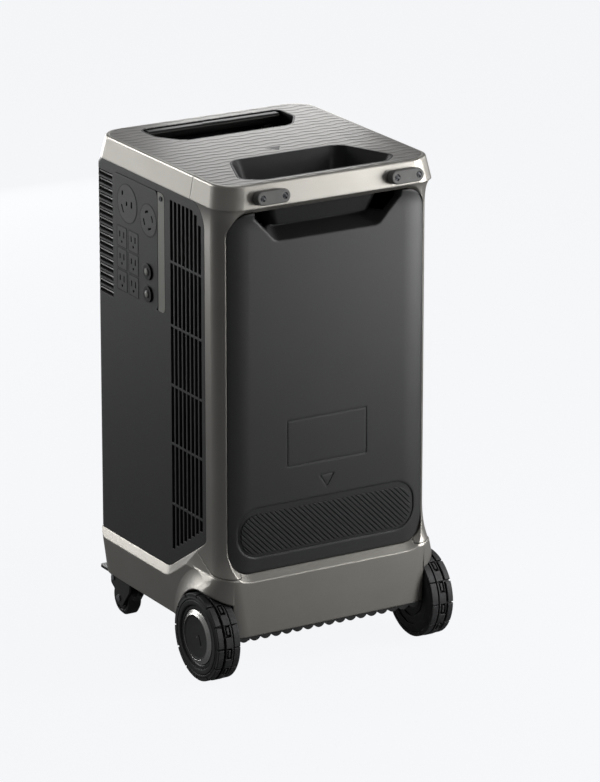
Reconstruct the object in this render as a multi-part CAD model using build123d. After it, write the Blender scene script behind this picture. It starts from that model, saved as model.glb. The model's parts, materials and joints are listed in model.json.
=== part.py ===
from build123d import *
import os
from math import atan2, cos, degrees, hypot, pi, radians, sin, tan

# Wheeled power station, millimetres.  +Z is up and z = 0 is the floor.
# The rear (-Y) carries the two large wheels, the front (+Y) the display and the casters.
# The outlets are on the left (-X).  The origin is on the floor, midway between the wheels
# and the caster pedals.

# ---------------------------------------------------------------- overall sizes
HEIGHT = 702.0              # floor to the top face
BODY_HALF_X = 166.0         # side panels
BODY_FRONT = 180.0
BODY_REAR = BODY_FRONT - 12.0           # rear waist, as a distance from the origin
PLATE_HALF_X = BODY_HALF_X - 4.0        # top plate
PLATE_HALF_Y = BODY_FRONT - 10.0
PLATE_CORNER_R = 34.0
BAND_TOP_HALF_X = BODY_HALF_X - 0.6     # painted band round the top, at its upper edge
BAND_TOP_HALF_Y = BODY_FRONT - 5.4
BAND_LOW_HALF_X = BODY_HALF_X + 5.0     # and at its lower edge
BAND_LOW_HALF_Y = BODY_FRONT + 1.0
BAND_CORNER_R = 34.0
BAND_BOTTOM = HEIGHT - 32.0
REAR_CORNER_R = 28.0
FRONT_CORNER_R = 12.0
BASE_HALF_X = BODY_HALF_X + 5.5
BASE_REAR = BODY_REAR + 10.0
BASE_BOTTOM = 65.0
BASE_TOP = 147.0            # rear skirt meets the rear frame here
BASE_FOOT_CORNER_R = 42.0
SHELF = 14.0                # ledge inside the base under the covers

# ---------------------------------------------------------------- walls and clearances
WALL = 4.0                  # painted castings
SKIN = 3.0                  # plastic panels
SEAM = 0.3                  # gap between neighbouring covers
FRAME_SEAM = 0.6            # gap between the painted castings
FIT = 0.3                   # gap between a moving piece and its guide
PLATE_T = 3.0
DECK_T = 4.0

# ---------------------------------------------------------------- side panel outline (Y, Z)
PANEL_BOTTOM = 126.3
PANEL_KNEE_Y = -22.0        # the lower edge turns upwards here
PANEL_REAR_Y = -125.0
PANEL_REAR_Z = 191.0
PANEL_TOP_R = 38.0
PANEL_KNEE_R = 34.0
PANEL_TOP_GAP = 1.6         # shadow gap under the band
PANEL_TOP_CORNER_R = 27.0   # front corners tuck in under the band
PANEL_HEEL_R = 12.0
SEAM_Y = -95.0              # joint in the band between top frame and rear frame
FOOT_X = BODY_HALF_X - 28.0  # joint between the pillars' feet and the base
FOOT_Y = -102.0
BEVEL_DEG = 65.0            # slope of the shoulder under the side panels
REAR_BEVEL_DEG = 40.0

# ---------------------------------------------------------------- vents
VENT_PITCH = 11.0
VENT_SLOT = 7.6
VENT_FIRST_Y = -35.0
VENT_COLUMNS = 8
VENT_TOP = HEIGHT - 47.0
VENT_TOP_DROP = (0, 0, 0, 0, 0, 0, 4.5, 17)
VENT_TIES_Z = tuple(VENT_TOP - drop for drop in (434.0, 347.0, 263.0, 178.0, 88.0))
VENT_TIE = 3.5
VENT_MARGIN = 19.0
LOUVRE_COUNT = 16
LOUVRE_PITCH = 11.2
LOUVRE_SLOT = 8.2
LOUVRE_LOW_Z = HEIGHT - 227.0
LOUVRE_REAR_Y = 131.0
LOUVRE_FRONT_Y = 176.0

# ---------------------------------------------------------------- rear panel
REAR_OPEN_HALF_X = BODY_HALF_X - 11.5
REAR_OPEN_BOTTOM = 152.0
REAR_OPEN_TOP = HEIGHT - 41.0
REAR_OPEN_R = 32.0
REAR_FLAT_HALF_X = REAR_OPEN_HALF_X - 32.5
REAR_ROLL_R = 97.0
REAR_PANEL_T = 4.0
SCOOP_LOW_HALF_X = 81.0
SCOOP_TOP_HALF_X = 114.0
SCOOP_BOTTOM = HEIGHT - 86.0
SCOOP_SHOULDER = HEIGHT - 50.0
SCOOP_BACK_Y = -137.0
SCOOP_TAPER_DEG = 22.0
LABEL_W = 126.0
LABEL_H = 66.0
LABEL_Z = 328.0
LINE_W = 1.2
LINE_DEPTH = 0.8
MARK_W = 24.0
MARK_H = 19.0
MARK_Z = 266.0
PAD_HALF_X = REAR_OPEN_HALF_X - 14.5
PAD_BOTTOM = 174.0
PAD_TOP = 244.0
PAD_R = 31.0
PAD_DEPTH = 2.6
PAD_T = 1.2
RIB_PITCH = 7.6
RIB_W = 3.4
RIB_H = 1.3

# ---------------------------------------------------------------- top recesses
GRIP_TOP_PTS = ((-98.0, -163.0, 30.0), (98.0, -163.0, 30.0), (123.0, -141.0, 17.0),
                (87.0, -52.0, 26.0), (-87.0, -52.0, 26.0), (-123.0, -141.0, 17.0))
GRIP_LOW_PTS = ((-70.0, -150.0, 9.0), (70.0, -150.0, 9.0), (82.0, -139.0, 6.0),
                (66.0, -74.0, 12.0), (-66.0, -74.0, 12.0), (-82.0, -139.0, 6.0))
GRIP_DEPTH = 66.0
HANDLE_PTS = ((-86.0, 68.0, 24.0), (86.0, 68.0, 24.0), (113.0, 108.0, 26.0),
              (113.0, 154.0, 13.0), (-113.0, 154.0, 13.0), (-113.0, 108.0, 26.0))
HANDLE_RECESS_DEPTH = 42.0
LINER_T = 2.5
TRIANGLE_Y = -30.5

# ---------------------------------------------------------------- trolley handle
TUBE_X = 88.0
TUBE_Y = 143.0
OUTER_TUBE = (22.0, 14.0)
OUTER_WALL = 1.5
MIDDLE_WALL = 1.2
INNER_WALL = 1.5
TUBE_CORNER_R = 3.0
MIDDLE_BOTTOM = 262.0
MIDDLE_LENGTH = HEIGHT - 40.0 - MIDDLE_BOTTOM
INNER_BOTTOM = 280.0
GRIP_HALF_X = 104.0
GRIP_H = 15.0
GRIP_T = 15.0
GRIP_TOP_GAP = 1.0
RELEASE_W = 34.0
RELEASE_D = 7.0
RELEASE_H = 4.0
RELEASE_TRAVEL = 2.0

# ---------------------------------------------------------------- bumper pads on the band
BUMPER_X = (-97.0, 112.0)
BUMPER_LENGTH = 51.0
BUMPER_H = 19.0
BUMPER_T = 14.0
BUMPER_Z = HEIGHT - 19.0
SCREW_SPACING = 34.0
SCREW_HEAD_R = 4.0
SCREW_HEAD_H = 3.2
SCREW_SHANK_R = 2.0
SOCKET_R = 1.9

# ---------------------------------------------------------------- outlets (Y, Z on the left side)
OUTLET_REAR_Y = 3.0
OUTLET_FRONT_Y = 124.0
OUTLET_TOP = HEIGHT - 45.0
OUTLET_BOTTOM = OUTLET_TOP - 169.0
OUTLET_T = 3.4
OUTLET_R = 8.0
STRIP_W = 19.0
ROUND_OUTLET = (88.0, OUTLET_TOP - 38.0, 26.5)
LOCK_OUTLET = (28.5, OUTLET_TOP - 47.0, 22.0)
DUPLEX_Y = (71.5, 104.0)
DUPLEX_Z = (OUTLET_BOTTOM + 17.5, OUTLET_BOTTOM + 49.0, OUTLET_BOTTOM + 80.5)
DUPLEX_W = 25.0
DUPLEX_H = 27.0
BREAKER_Y = 30.0
BREAKER_Z = {"lower": OUTLET_BOTTOM + 17.5, "upper": OUTLET_BOTTOM + 49.0}
BREAKER_R = 11.5
BREAKER_BUTTON_R = 6.0
RECEPTACLE_T = 22.0
RECEPTACLE_PROUD = 0.9      # beyond the side panel; the plate itself stands 0.6 proud
RECEPTACLE_GAP = 0.7

# ---------------------------------------------------------------- front panel
DISPLAY_HALF_X = 74.0
DISPLAY_TOP = HEIGHT - 68.0
DISPLAY_BOTTOM = DISPLAY_TOP - 68.0
DISPLAY_R = 12.0
DISPLAY_T = 2.4
BUTTON_Z = DISPLAY_BOTTOM - 26.0
BUTTON_X = {"ac": -46.0, "power": 0.0, "dc": 46.0}
BUTTON_R = {"ac": 8.0, "power": 11.0, "dc": 8.0}
BUTTON_TRAVEL = 1.4
PORTS_HALF_X = 74.0
PORTS_TOP = BUTTON_Z - 28.0
PORTS_BOTTOM = PORTS_TOP - 64.0
PORTS_T = 20.0
FRONT_VENT_BOTTOM = 176.0
FRONT_VENT_COUNT = 12
FRONT_VENT_PITCH = 15.0
FRONT_VENT_SLOT = 6.0
FRONT_VENT_HALF_X = 110.0

# ---------------------------------------------------------------- large wheels
WHEEL_Y = -135.5
WHEEL_R = 62.0
TYRE_IN_X = BODY_HALF_X - 13.0
TYRE_OUT_X = TYRE_IN_X + 36.0
RIM_R = 44.0
RING_OUT_R = 38.5
RING_IN_R = 31.5
RING_OUT_X = TYRE_OUT_X + 1.0
RIM_X = RING_OUT_X - 3.5
AXLE_R = 8.0
RUN = 0.05                  # radial clearance of a pin in its bore
AXLE_IN_X = TYRE_IN_X - 37.0
AXLE_OUT_X = RIM_X - 4.5
ARCH_GAP = 3.6              # between the tyre and its arch
ARCH_IN_X = TYRE_IN_X - 1.0
FLARE_X = BODY_HALF_X + 16.0  # lip of the wheel arch
FLARE_W = 30.0
LINER_WALL = 3.0
TREAD_BLOCKS = 12
POCKET_W = 7.0
POCKET_L = 15.0
TREAD_DEPTH = 4.0
SHOULDER_NOTCH_W = 4.0

# ---------------------------------------------------------------- casters
CASTER_X = BODY_HALF_X - 23.0
SWIVEL_Y = 123.0
TRAIL = 20.0
ROLLER_R = 25.0
ROLLER_HALF_W = 10.0
CHEEK_T = 3.0
CHEEK_GAP = 1.2
CASTER_PLATE_T = 4.0
SWIVEL_BOSS_R = 17.0
SWIVEL_GAP = 0.4            # between the swivel boss and the fork
SWIVEL_PIN_R = 5.0
FORK_TOP = 64.4
FORK_T = 4.0
CASTER_AXLE_R = 3.0
PEDAL_PIVOT_OUT = 16.0
PEDAL_PIVOT_Z = 51.0
PEDAL_PIN_R = 2.2
PEDAL_BARREL_R = 4.6
PEDAL_TIP_Y = 197.5
PEDAL_HALF_W = 15.0
PEDAL_T = 4.0

# ---------------------------------------------------------------- tread strip and inner pieces
STRIP_HALF_X = TYRE_IN_X - 9.0
SCALLOP_PITCH = 17.0
SCALLOP_COUNT = 17
SCALLOP_R = 9.0
SCALLOP_DROP = 7.5
TREAD_STRIP_D = 22.0
TRAY_TOP = 80.0
TRAY_T = 4.0
BATTERY_HALF_X = BODY_HALF_X - 42.0
BATTERY_REAR_Y = -112.0
BATTERY_FRONT_Y = 124.0
BATTERY_COUNT = 2
INVERTER_H = 150.0
TOP_ROOM = 136.0            # above the inverter, for the recesses in the deck
BATTERY_H = (HEIGHT - TOP_ROOM - INVERTER_H - TRAY_TOP) / BATTERY_COUNT
FAN_SIZE = 92.0
FAN_T = 25.0
FAN_Y = -72.0
FAN_BORE_R = 43.0
FAN_HUB_R = 17.0
FAN_BLADES = 7
FAN_PIN_R = 3.0

LEFT = -1
RIGHT = 1


# ================================================================ helpers
def block(x0, x1, y0, y1, z0, z1):
    """Box between two corners, in any order along X."""
    lo, hi = min(x0, x1), max(x0, x1)
    return Pos((lo + hi) / 2, (y0 + y1) / 2, (z0 + z1) / 2) * Box(hi - lo, y1 - y0, z1 - z0)


def rounded_outline(points):
    """Closed outline from (x, y, corner radius) points."""
    outline = Polygon(*[(x, y) for x, y, _ in points], align=None)
    for x, y, radius in points:
        if radius > 0:
            corner = outline.vertices().sort_by_distance((x, y, 0))[0]
            outline = fillet(corner, radius)
    return outline


def plan(half_x, rear, front, rear_r, front_r, z):
    """Rounded rectangle seen from above, at height z."""
    points = ((-half_x, -rear, rear_r), (half_x, -rear, rear_r),
              (half_x, front, front_r), (-half_x, front, front_r))
    return Pos(0, 0, z) * rounded_outline(points)


def prism_x(outline, x0, x1):
    """Outline in (Y, Z) drawn out along X."""
    lo, hi = min(x0, x1), max(x0, x1)
    return extrude(Plane.YZ.offset(lo) * outline, amount=hi - lo)


def prism_y(outline, y0, y1):
    """Outline in (X, Z) drawn out along Y, from y0 up to y1."""
    return extrude(Plane.XZ.offset(-y1) * outline, amount=y1 - y0)


def rod_x(radius, x0, x1, y, z):
    """Round bar along X."""
    lo, hi = min(x0, x1), max(x0, x1)
    return Pos((lo + hi) / 2, y, z) * Rot(0, 90, 0) * Cylinder(radius, hi - lo)


def rod_y(radius, y0, y1, x, z):
    """Round bar along Y."""
    return Pos(x, (y0 + y1) / 2, z) * Rot(90, 0, 0) * Cylinder(radius, y1 - y0)


def rod_z(radius, z0, z1, x, y):
    """Round bar along Z."""
    return Pos(x, y, (z0 + z1) / 2) * Cylinder(radius, z1 - z0)


def box_outline(u0, u1, v0, v1, radius):
    """Rounded rectangle outline between two corners."""
    return rounded_outline(((u0, v0, radius), (u1, v0, radius), (u1, v1, radius), (u0, v1, radius)))


def mirror_x(shape):
    """The same piece on the other side of the station."""
    return mirror(shape, about=Plane.YZ)


def for_side(side, right_piece):
    """A piece made for the right side, or its mirror image."""
    return right_piece if side == RIGHT else mirror_x(right_piece)


# ================================================================ shared outlines and cutters
def side_outline(grow):
    """Side panel outline in (Y, Z), grown by a clearance."""
    slope = atan2(PANEL_REAR_Z - PANEL_BOTTOM, PANEL_KNEE_Y - PANEL_REAR_Y)
    shift = grow * tan(slope / 2)
    return rounded_outline((
        (BODY_FRONT + 20, BAND_BOTTOM - PANEL_TOP_GAP + grow, 0),
        (PANEL_REAR_Y - grow, BAND_BOTTOM - PANEL_TOP_GAP + grow, PANEL_TOP_R),
        (PANEL_REAR_Y - grow, PANEL_REAR_Z - grow / cos(slope) + grow * tan(slope), PANEL_HEEL_R),
        (PANEL_KNEE_Y - shift, PANEL_BOTTOM - grow, PANEL_KNEE_R),
        (BODY_FRONT + 20, PANEL_BOTTOM - grow, 0)))


def rear_outline(shrink):
    """Opening for the rear panel in (X, Z), shrunk by a clearance."""
    half = REAR_OPEN_HALF_X - shrink
    return box_outline(-half, half, REAR_OPEN_BOTTOM + shrink, REAR_OPEN_TOP - shrink,
                       REAR_OPEN_R - shrink)


def base_region(grow):
    """Space of the base, grown by a clearance: below the seam that sweeps up behind the covers."""
    outline = rounded_outline((
        (BODY_FRONT + 30, BASE_BOTTOM - 20, 0),
        (BODY_FRONT + 30, PANEL_REAR_Z + 40, 0),
        (FOOT_Y - grow, PANEL_REAR_Z + 40, 0),
        (FOOT_Y - grow, BASE_TOP + 25 + grow, 5.0),
        (FOOT_Y - 42, BASE_TOP + 6.5 + grow, 18.0),
        (-BASE_REAR - 30, BASE_TOP - 1 + grow, 0),
        (-BASE_REAR - 30, BASE_BOTTOM - 20, 0)))
    sill = block(-FOOT_X - grow, FOOT_X + grow, -BASE_REAR - 30, -BODY_REAR + 20, BASE_BOTTOM,
                 BASE_TOP + 25)
    return prism_x(outline, -250, 250) + sill


def recess_cutter(points, z_top, depth, grow):
    """Straight cutter round a recess outline, grown by a clearance."""
    outline = rounded_outline(points)
    return extrude(Pos(0, 0, z_top - depth) * offset(outline, grow), amount=depth)


def grip_shape(grow, depth, z_top):
    """Tapered finger recess near the rear edge, grown by a wall."""
    upper = Pos(0, 0, z_top) * offset(rounded_outline(GRIP_TOP_PTS), grow)
    lower = Pos(0, 0, z_top - depth) * offset(rounded_outline(GRIP_LOW_PTS), grow)
    return loft([lower, upper], ruled=True)


def band_shape():
    """Solid painted band with its sloping wall and rounded top edge."""
    low = plan(BAND_LOW_HALF_X, BAND_LOW_HALF_Y, BAND_LOW_HALF_Y, BAND_CORNER_R, BAND_CORNER_R,
               BAND_BOTTOM)
    high = plan(BAND_TOP_HALF_X, BAND_TOP_HALF_Y, BAND_TOP_HALF_Y, BAND_CORNER_R, BAND_CORNER_R,
                HEIGHT)
    solid = loft([low, high], ruled=True)
    top_edges = solid.faces().sort_by(Axis.Z)[-1].edges()
    return fillet(top_edges, 3.0)


def band_ring():
    """Band hollowed out from below, with a pocket for the top plate and both recess holes."""
    ring = band_shape()
    ring -= extrude(plan(BAND_LOW_HALF_X - 2 * WALL, BAND_LOW_HALF_Y - 2 * WALL,
                         BAND_LOW_HALF_Y - 2 * WALL, BAND_CORNER_R - WALL, BAND_CORNER_R - WALL,
                         BAND_BOTTOM), amount=HEIGHT - PLATE_T - DECK_T - BAND_BOTTOM)
    ring -= extrude(plan(PLATE_HALF_X, PLATE_HALF_Y, PLATE_HALF_Y, PLATE_CORNER_R,
                         PLATE_CORNER_R, HEIGHT - PLATE_T), amount=PLATE_T)
    ring -= recess_cutter(GRIP_TOP_PTS, HEIGHT, 20, SEAM)
    ring -= recess_cutter(HANDLE_PTS, HEIGHT, 20, SEAM)
    return ring


def body_shape():
    """Outer shape of the body below the band: a waist that flares into band and base."""
    def section(half_x, rear, z):
        return plan(half_x, rear, BODY_FRONT, REAR_CORNER_R, FRONT_CORNER_R, z)
    waist_top = BAND_BOTTOM - 34
    waist_low = BASE_TOP + 52
    upper = loft([section(BODY_HALF_X, BODY_REAR, waist_top),
                  section(BODY_HALF_X + 0.5, BODY_REAR + 1.2, BAND_BOTTOM - 20),
                  section(BODY_HALF_X + 2.0, BODY_REAR + 4.0, BAND_BOTTOM - 8),
                  section(BAND_LOW_HALF_X - 0.8, BAND_LOW_HALF_Y - 4.0, BAND_BOTTOM)])
    middle = extrude(section(BODY_HALF_X, BODY_REAR, waist_low), amount=waist_top - waist_low)
    lower = loft([section(BASE_HALF_X, BASE_REAR, BASE_TOP),
                  section(BODY_HALF_X + 2.6, BODY_REAR + 4.4, BASE_TOP + 16),
                  section(BODY_HALF_X + 0.7, BODY_REAR + 1.2, BASE_TOP + 34),
                  section(BODY_HALF_X, BODY_REAR, waist_low)])
    return upper + middle + lower


def base_shape():
    """Outer shape of the base skirt, whose lower corners are rounder."""
    low = plan(BASE_HALF_X, BASE_REAR, BODY_FRONT, BASE_FOOT_CORNER_R, BASE_FOOT_CORNER_R,
               BASE_BOTTOM)
    high = plan(BASE_HALF_X, BASE_REAR, BODY_FRONT, REAR_CORNER_R, FRONT_CORNER_R, BASE_TOP)
    return loft([low, high], ruled=True)


def shoulder_cutters():
    """Bevels round the lower edges of the side panels and of the rear panel."""
    cutters = []
    for side in (LEFT, RIGHT):
        face = Plane.YZ.offset(BODY_HALF_X) * side_outline(SEAM)
        cutters.append(for_side(side, extrude(face, amount=9, taper=-BEVEL_DEG)))
    rear = Plane.XZ.offset(BODY_REAR - 1) * rear_outline(0)
    cutters.append(extrude(rear, amount=14, taper=-REAR_BEVEL_DEG))
    return cutters


# ================================================================ covers
def top_frame():
    """Front and side part of the painted band, with the deck under the top plate."""
    return band_ring() & block(-250, 250, SEAM_Y, 250, BAND_BOTTOM - 5, HEIGHT + 5)


def rear_frame():
    """Inverted U at the rear: the band's rear part and the two waisted pillars."""
    band = band_ring() & block(-250, 250, -250, SEAM_Y - FRAME_SEAM, BAND_BOTTOM - 5, HEIGHT + 5)
    pillars = body_shape() & block(-250, 250, -250, FOOT_Y + 20, BASE_TOP - 2, BAND_BOTTOM)
    pillars -= extrude(plan(BODY_HALF_X - WALL, BODY_REAR - 8 - WALL, BODY_FRONT, 24, 6,
                            BASE_TOP - 5), amount=HEIGHT - PLATE_T - DECK_T - BASE_TOP + 5)
    pillars -= base_region(FRAME_SEAM)
    for cutter in shoulder_cutters():
        pillars -= cutter
    pillars -= prism_y(rear_outline(0), -250, -100)
    pillars -= prism_x(side_outline(SEAM), -250, 250)
    pillars -= block(-250, 250, SEAM_Y - FRAME_SEAM, 0, PANEL_REAR_Z + 20, HEIGHT)
    pillars -= recess_cutter(GRIP_TOP_PTS, HEIGHT, 60, SEAM)
    return band + pillars


def top_plate():
    """Top plate let into the band, with both recess holes and an engraved arrow."""
    plate = extrude(plan(PLATE_HALF_X - SEAM, PLATE_HALF_Y - SEAM, PLATE_HALF_Y - SEAM,
                         PLATE_CORNER_R, PLATE_CORNER_R, HEIGHT - PLATE_T), amount=PLATE_T)
    plate -= recess_cutter(GRIP_TOP_PTS, HEIGHT, 20, SEAM)
    plate -= recess_cutter(HANDLE_PTS, HEIGHT, 20, SEAM)
    arrow = Polygon((-MARK_W / 2, TRIANGLE_Y + MARK_H / 2), (0, TRIANGLE_Y - MARK_H / 2),
                    (MARK_W / 2, TRIANGLE_Y + MARK_H / 2), align=None)
    plate -= extrude(Pos(0, 0, HEIGHT - LINE_DEPTH) * arrow, amount=LINE_DEPTH)
    return plate


def arch_flare():
    """Flared lip round a wheel arch, fading into the side of the base."""
    arch_r = WHEEL_R + ARCH_GAP
    inner = ARCH_IN_X
    outline = Wire([Line((inner, arch_r), (FLARE_X, arch_r)),
                    Line((FLARE_X, arch_r), (FLARE_X, arch_r + 1.2)),
                    Spline((FLARE_X, arch_r + 1.2), (BASE_HALF_X + 5.4, arch_r + FLARE_W * 0.36),
                           (BASE_HALF_X + 1.2, arch_r + FLARE_W * 0.72),
                           (BASE_HALF_X - 0.4, arch_r + FLARE_W)),
                    Line((BASE_HALF_X - 0.4, arch_r + FLARE_W), (inner, arch_r + FLARE_W)),
                    Line((inner, arch_r + FLARE_W), (inner, arch_r))])
    ring = Pos(0, WHEEL_Y, WHEEL_R) * revolve(make_face(outline), Axis.X)
    lip_z = WHEEL_R + arch_r
    foot = plan(FLARE_X, BASE_REAR, BODY_FRONT, BASE_FOOT_CORNER_R, 1, lip_z)
    brow = plan(BASE_HALF_X, BASE_REAR, BODY_FRONT, REAR_CORNER_R, 1, BASE_TOP + 3)
    bounds = loft([foot, brow], ruled=True)
    bounds += extrude(Pos(0, 0, BASE_BOTTOM - lip_z) * foot, amount=lip_z - BASE_BOTTOM)
    return ring & bounds


def base_shell():
    """Painted skirt with wheel arches, swept up behind the side panels."""
    shell = base_shape() + body_shape()
    flare = arch_flare()
    shell += flare + mirror_x(flare)
    shell &= base_region(0)
    shell -= extrude(plan(BODY_HALF_X - 1, BASE_REAR - WALL, BODY_FRONT - WALL, 30, 30,
                          BASE_BOTTOM - 5), amount=BASE_TOP - SHELF - BASE_BOTTOM + 5)
    shell -= extrude(plan(BODY_HALF_X - WALL, BODY_REAR - 8 - WALL, BODY_FRONT - WALL, 24, 8,
                          BASE_TOP - SHELF - 1), amount=HEIGHT)
    for cutter in shoulder_cutters():
        shell -= cutter
    shell -= prism_x(side_outline(SEAM), -250, 250)
    shell -= prism_y(rear_outline(0), -250, -100)
    for side in (LEFT, RIGHT):
        shell -= rod_x(WHEEL_R + ARCH_GAP, side * ARCH_IN_X, side * 250, WHEEL_Y, WHEEL_R)
    return shell


def cover_body(inset):
    """Solid body of the plastic covers, shrunk by an inset; the front corners tuck in on top."""
    bend = BAND_BOTTOM - 10
    low = plan(BODY_HALF_X - inset, BODY_REAR, BODY_FRONT - inset, REAR_CORNER_R,
               FRONT_CORNER_R - inset, bend)
    high = plan(BODY_HALF_X - inset, BODY_REAR, BODY_FRONT - inset, REAR_CORNER_R,
                PANEL_TOP_CORNER_R - inset, BAND_BOTTOM)
    straight = extrude(Pos(0, 0, PANEL_BOTTOM - bend) * low, amount=bend - PANEL_BOTTOM)
    return straight + loft([low, high], ruled=True)


def panel_edge_z(y):
    """Height of the side panel's lower edge at a place along Y."""
    if y >= PANEL_KNEE_Y:
        return PANEL_BOTTOM
    rise = (PANEL_REAR_Z - PANEL_BOTTOM) / (PANEL_KNEE_Y - PANEL_REAR_Y)
    return PANEL_BOTTOM + rise * (PANEL_KNEE_Y - y)


def vent_slots():
    """Tall vent slots of the right side, broken by the thin ties that lie above the panel's edge."""
    slots = []
    for column in range(VENT_COLUMNS):
        y = VENT_FIRST_Y - VENT_PITCH * column
        bottom = panel_edge_z(y) + VENT_MARGIN
        ties = [z for z in VENT_TIES_Z if z > bottom + VENT_TIE]
        stops = [bottom, *ties, VENT_TOP - VENT_TOP_DROP[column]]
        for row in range(len(stops) - 1):
            low = stops[row] + VENT_TIE / 2
            high = stops[row + 1] - VENT_TIE / 2
            slots.append(block(BODY_HALF_X - 2 * SKIN, BODY_HALF_X + 1, y - VENT_SLOT / 2,
                               y + VENT_SLOT / 2, low, high))
    return slots


def louvre_slots():
    """Slots that wrap round the right front corner."""
    reach = FRONT_CORNER_R - 1.5
    return [block(BODY_HALF_X - reach, BODY_HALF_X + 1, LOUVRE_REAR_Y, LOUVRE_FRONT_Y,
                  LOUVRE_LOW_Z + LOUVRE_PITCH * n, LOUVRE_LOW_Z + LOUVRE_PITCH * n + LOUVRE_SLOT)
            for n in range(LOUVRE_COUNT)]


def side_panel(side):
    """Side cover with vents, wrapped round the front corner."""
    shell = cover_body(0) - cover_body(SKIN)
    shell &= prism_x(side_outline(0), BODY_HALF_X - FRONT_CORNER_R - 1, 250)
    shell = shell.cut(*vent_slots(), *louvre_slots())
    panel = for_side(side, shell)
    if side == LEFT:
        panel -= prism_x(box_outline(OUTLET_REAR_Y - STRIP_W, OUTLET_FRONT_Y, OUTLET_BOTTOM,
                                     OUTLET_TOP, OUTLET_R), -250, 0)
    return panel


def rear_panel_profile(depth):
    """Rear panel seen from above: flat in the middle, rolled in at the sides."""
    run = REAR_OPEN_HALF_X + 6 - REAR_FLAT_HALF_X
    drop = REAR_ROLL_R - (REAR_ROLL_R ** 2 - run ** 2) ** 0.5
    y = -BODY_REAR + depth
    ends = REAR_FLAT_HALF_X + run
    half = atan2(run, REAR_ROLL_R - drop) / 2
    mid_x = REAR_FLAT_HALF_X + REAR_ROLL_R * sin(half)
    mid_y = y + REAR_ROLL_R * (1 - cos(half))
    outer = [Line((-REAR_FLAT_HALF_X, y), (REAR_FLAT_HALF_X, y)),
             ThreePointArc((REAR_FLAT_HALF_X, y), (mid_x, mid_y), (ends, y + drop)),
             Line((ends, y + drop), (ends, y + drop + 30)),
             Line((ends, y + drop + 30), (-ends, y + drop + 30)),
             Line((-ends, y + drop + 30), (-ends, y + drop)),
             ThreePointArc((-ends, y + drop), (-mid_x, mid_y), (-REAR_FLAT_HALF_X, y))]
    return make_face(Wire(outer))


def rear_cover(depth, low, high):
    """Solid behind the rear panel's face, swept outwards at the top under the band."""
    bend = BAND_BOTTOM - 34
    profile = rear_panel_profile(depth)
    solid = extrude(Pos(0, 0, low) * profile, amount=min(bend, high) - low)
    if high > bend:
        solid += loft([Pos(0, 0, bend) * profile, Pos(0, -1.2, bend + 14) * profile,
                       Pos(0, -4.0, high) * profile])
    return solid


def scoop_shape(grow):
    """Hand scoop at the top of the rear panel, narrowing as it goes in."""
    lean = tan(radians(SCOOP_TAPER_DEG))

    def outline(shift):
        low = SCOOP_LOW_HALF_X + shift
        top = SCOOP_TOP_HALF_X + shift
        return rounded_outline(((-low, SCOOP_BOTTOM - shift, 16), (low, SCOOP_BOTTOM - shift, 16),
                                (top, SCOOP_SHOULDER, 4), (top, REAR_OPEN_TOP + 20, 0),
                                (-top, REAR_OPEN_TOP + 20, 0), (-top, SCOOP_SHOULDER, 4)))
    depth = BODY_REAR + SCOOP_BACK_Y
    mouth = Plane.XZ.offset(BODY_REAR + 8) * outline(grow + 8 * lean)
    back = Plane.XZ.offset(BODY_REAR - depth - grow) * outline(grow - depth * lean)
    return loft([mouth, back], ruled=True)


def rear_panel():
    """Broad rear cover with a hand scoop, label frame, arrow and a pocket for the ribbed pad."""
    outer = rear_cover(0, REAR_OPEN_BOTTOM, REAR_OPEN_TOP)
    inner = rear_cover(REAR_PANEL_T, REAR_OPEN_BOTTOM, REAR_OPEN_TOP)
    panel = (outer - inner) & prism_y(rear_outline(SEAM), -250, -100)
    ceiling = HEIGHT - GRIP_DEPTH - LINER_T - 1
    pocket = scoop_shape(SKIN) & block(-250, 250, -BODY_REAR + 1, 0, 0, REAR_OPEN_TOP - 1)
    pocket -= block(-250, 250, -BODY_REAR + 9, 0, ceiling, HEIGHT)
    panel += pocket
    panel -= scoop_shape(0)
    return panel - panel_marks()


def panel_marks():
    """Engraved label frame and arrow on the rear panel, and the pocket for the ribbed pad."""
    face = -BODY_REAR + LINE_DEPTH
    frame = box_outline(-LABEL_W / 2, LABEL_W / 2, LABEL_Z - LABEL_H / 2, LABEL_Z + LABEL_H / 2, 0)
    frame -= box_outline(-LABEL_W / 2 + LINE_W, LABEL_W / 2 - LINE_W,
                         LABEL_Z - LABEL_H / 2 + LINE_W, LABEL_Z + LABEL_H / 2 - LINE_W, 0)
    arrow = Polygon((-MARK_W / 2, MARK_Z + MARK_H / 2), (0, MARK_Z - MARK_H / 2),
                    (MARK_W / 2, MARK_Z + MARK_H / 2), align=None)
    arrow -= offset(arrow, -LINE_W)
    marks = prism_y(frame, -200, face) + prism_y(arrow, -200, face)
    pocket = prism_y(box_outline(-PAD_HALF_X, PAD_HALF_X, PAD_BOTTOM, PAD_TOP, PAD_R),
                     -200, -BODY_REAR + PAD_DEPTH)
    roll = extrude(Pos(0, 0, PAD_BOTTOM - 5) * rear_panel_profile(PAD_DEPTH),
                   amount=PAD_TOP - PAD_BOTTOM + 10)
    sides = prism_y(box_outline(-PAD_HALF_X, PAD_HALF_X, PAD_BOTTOM, PAD_TOP, PAD_R), -200, -130)
    return marks + pocket + (sides - roll)


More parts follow.
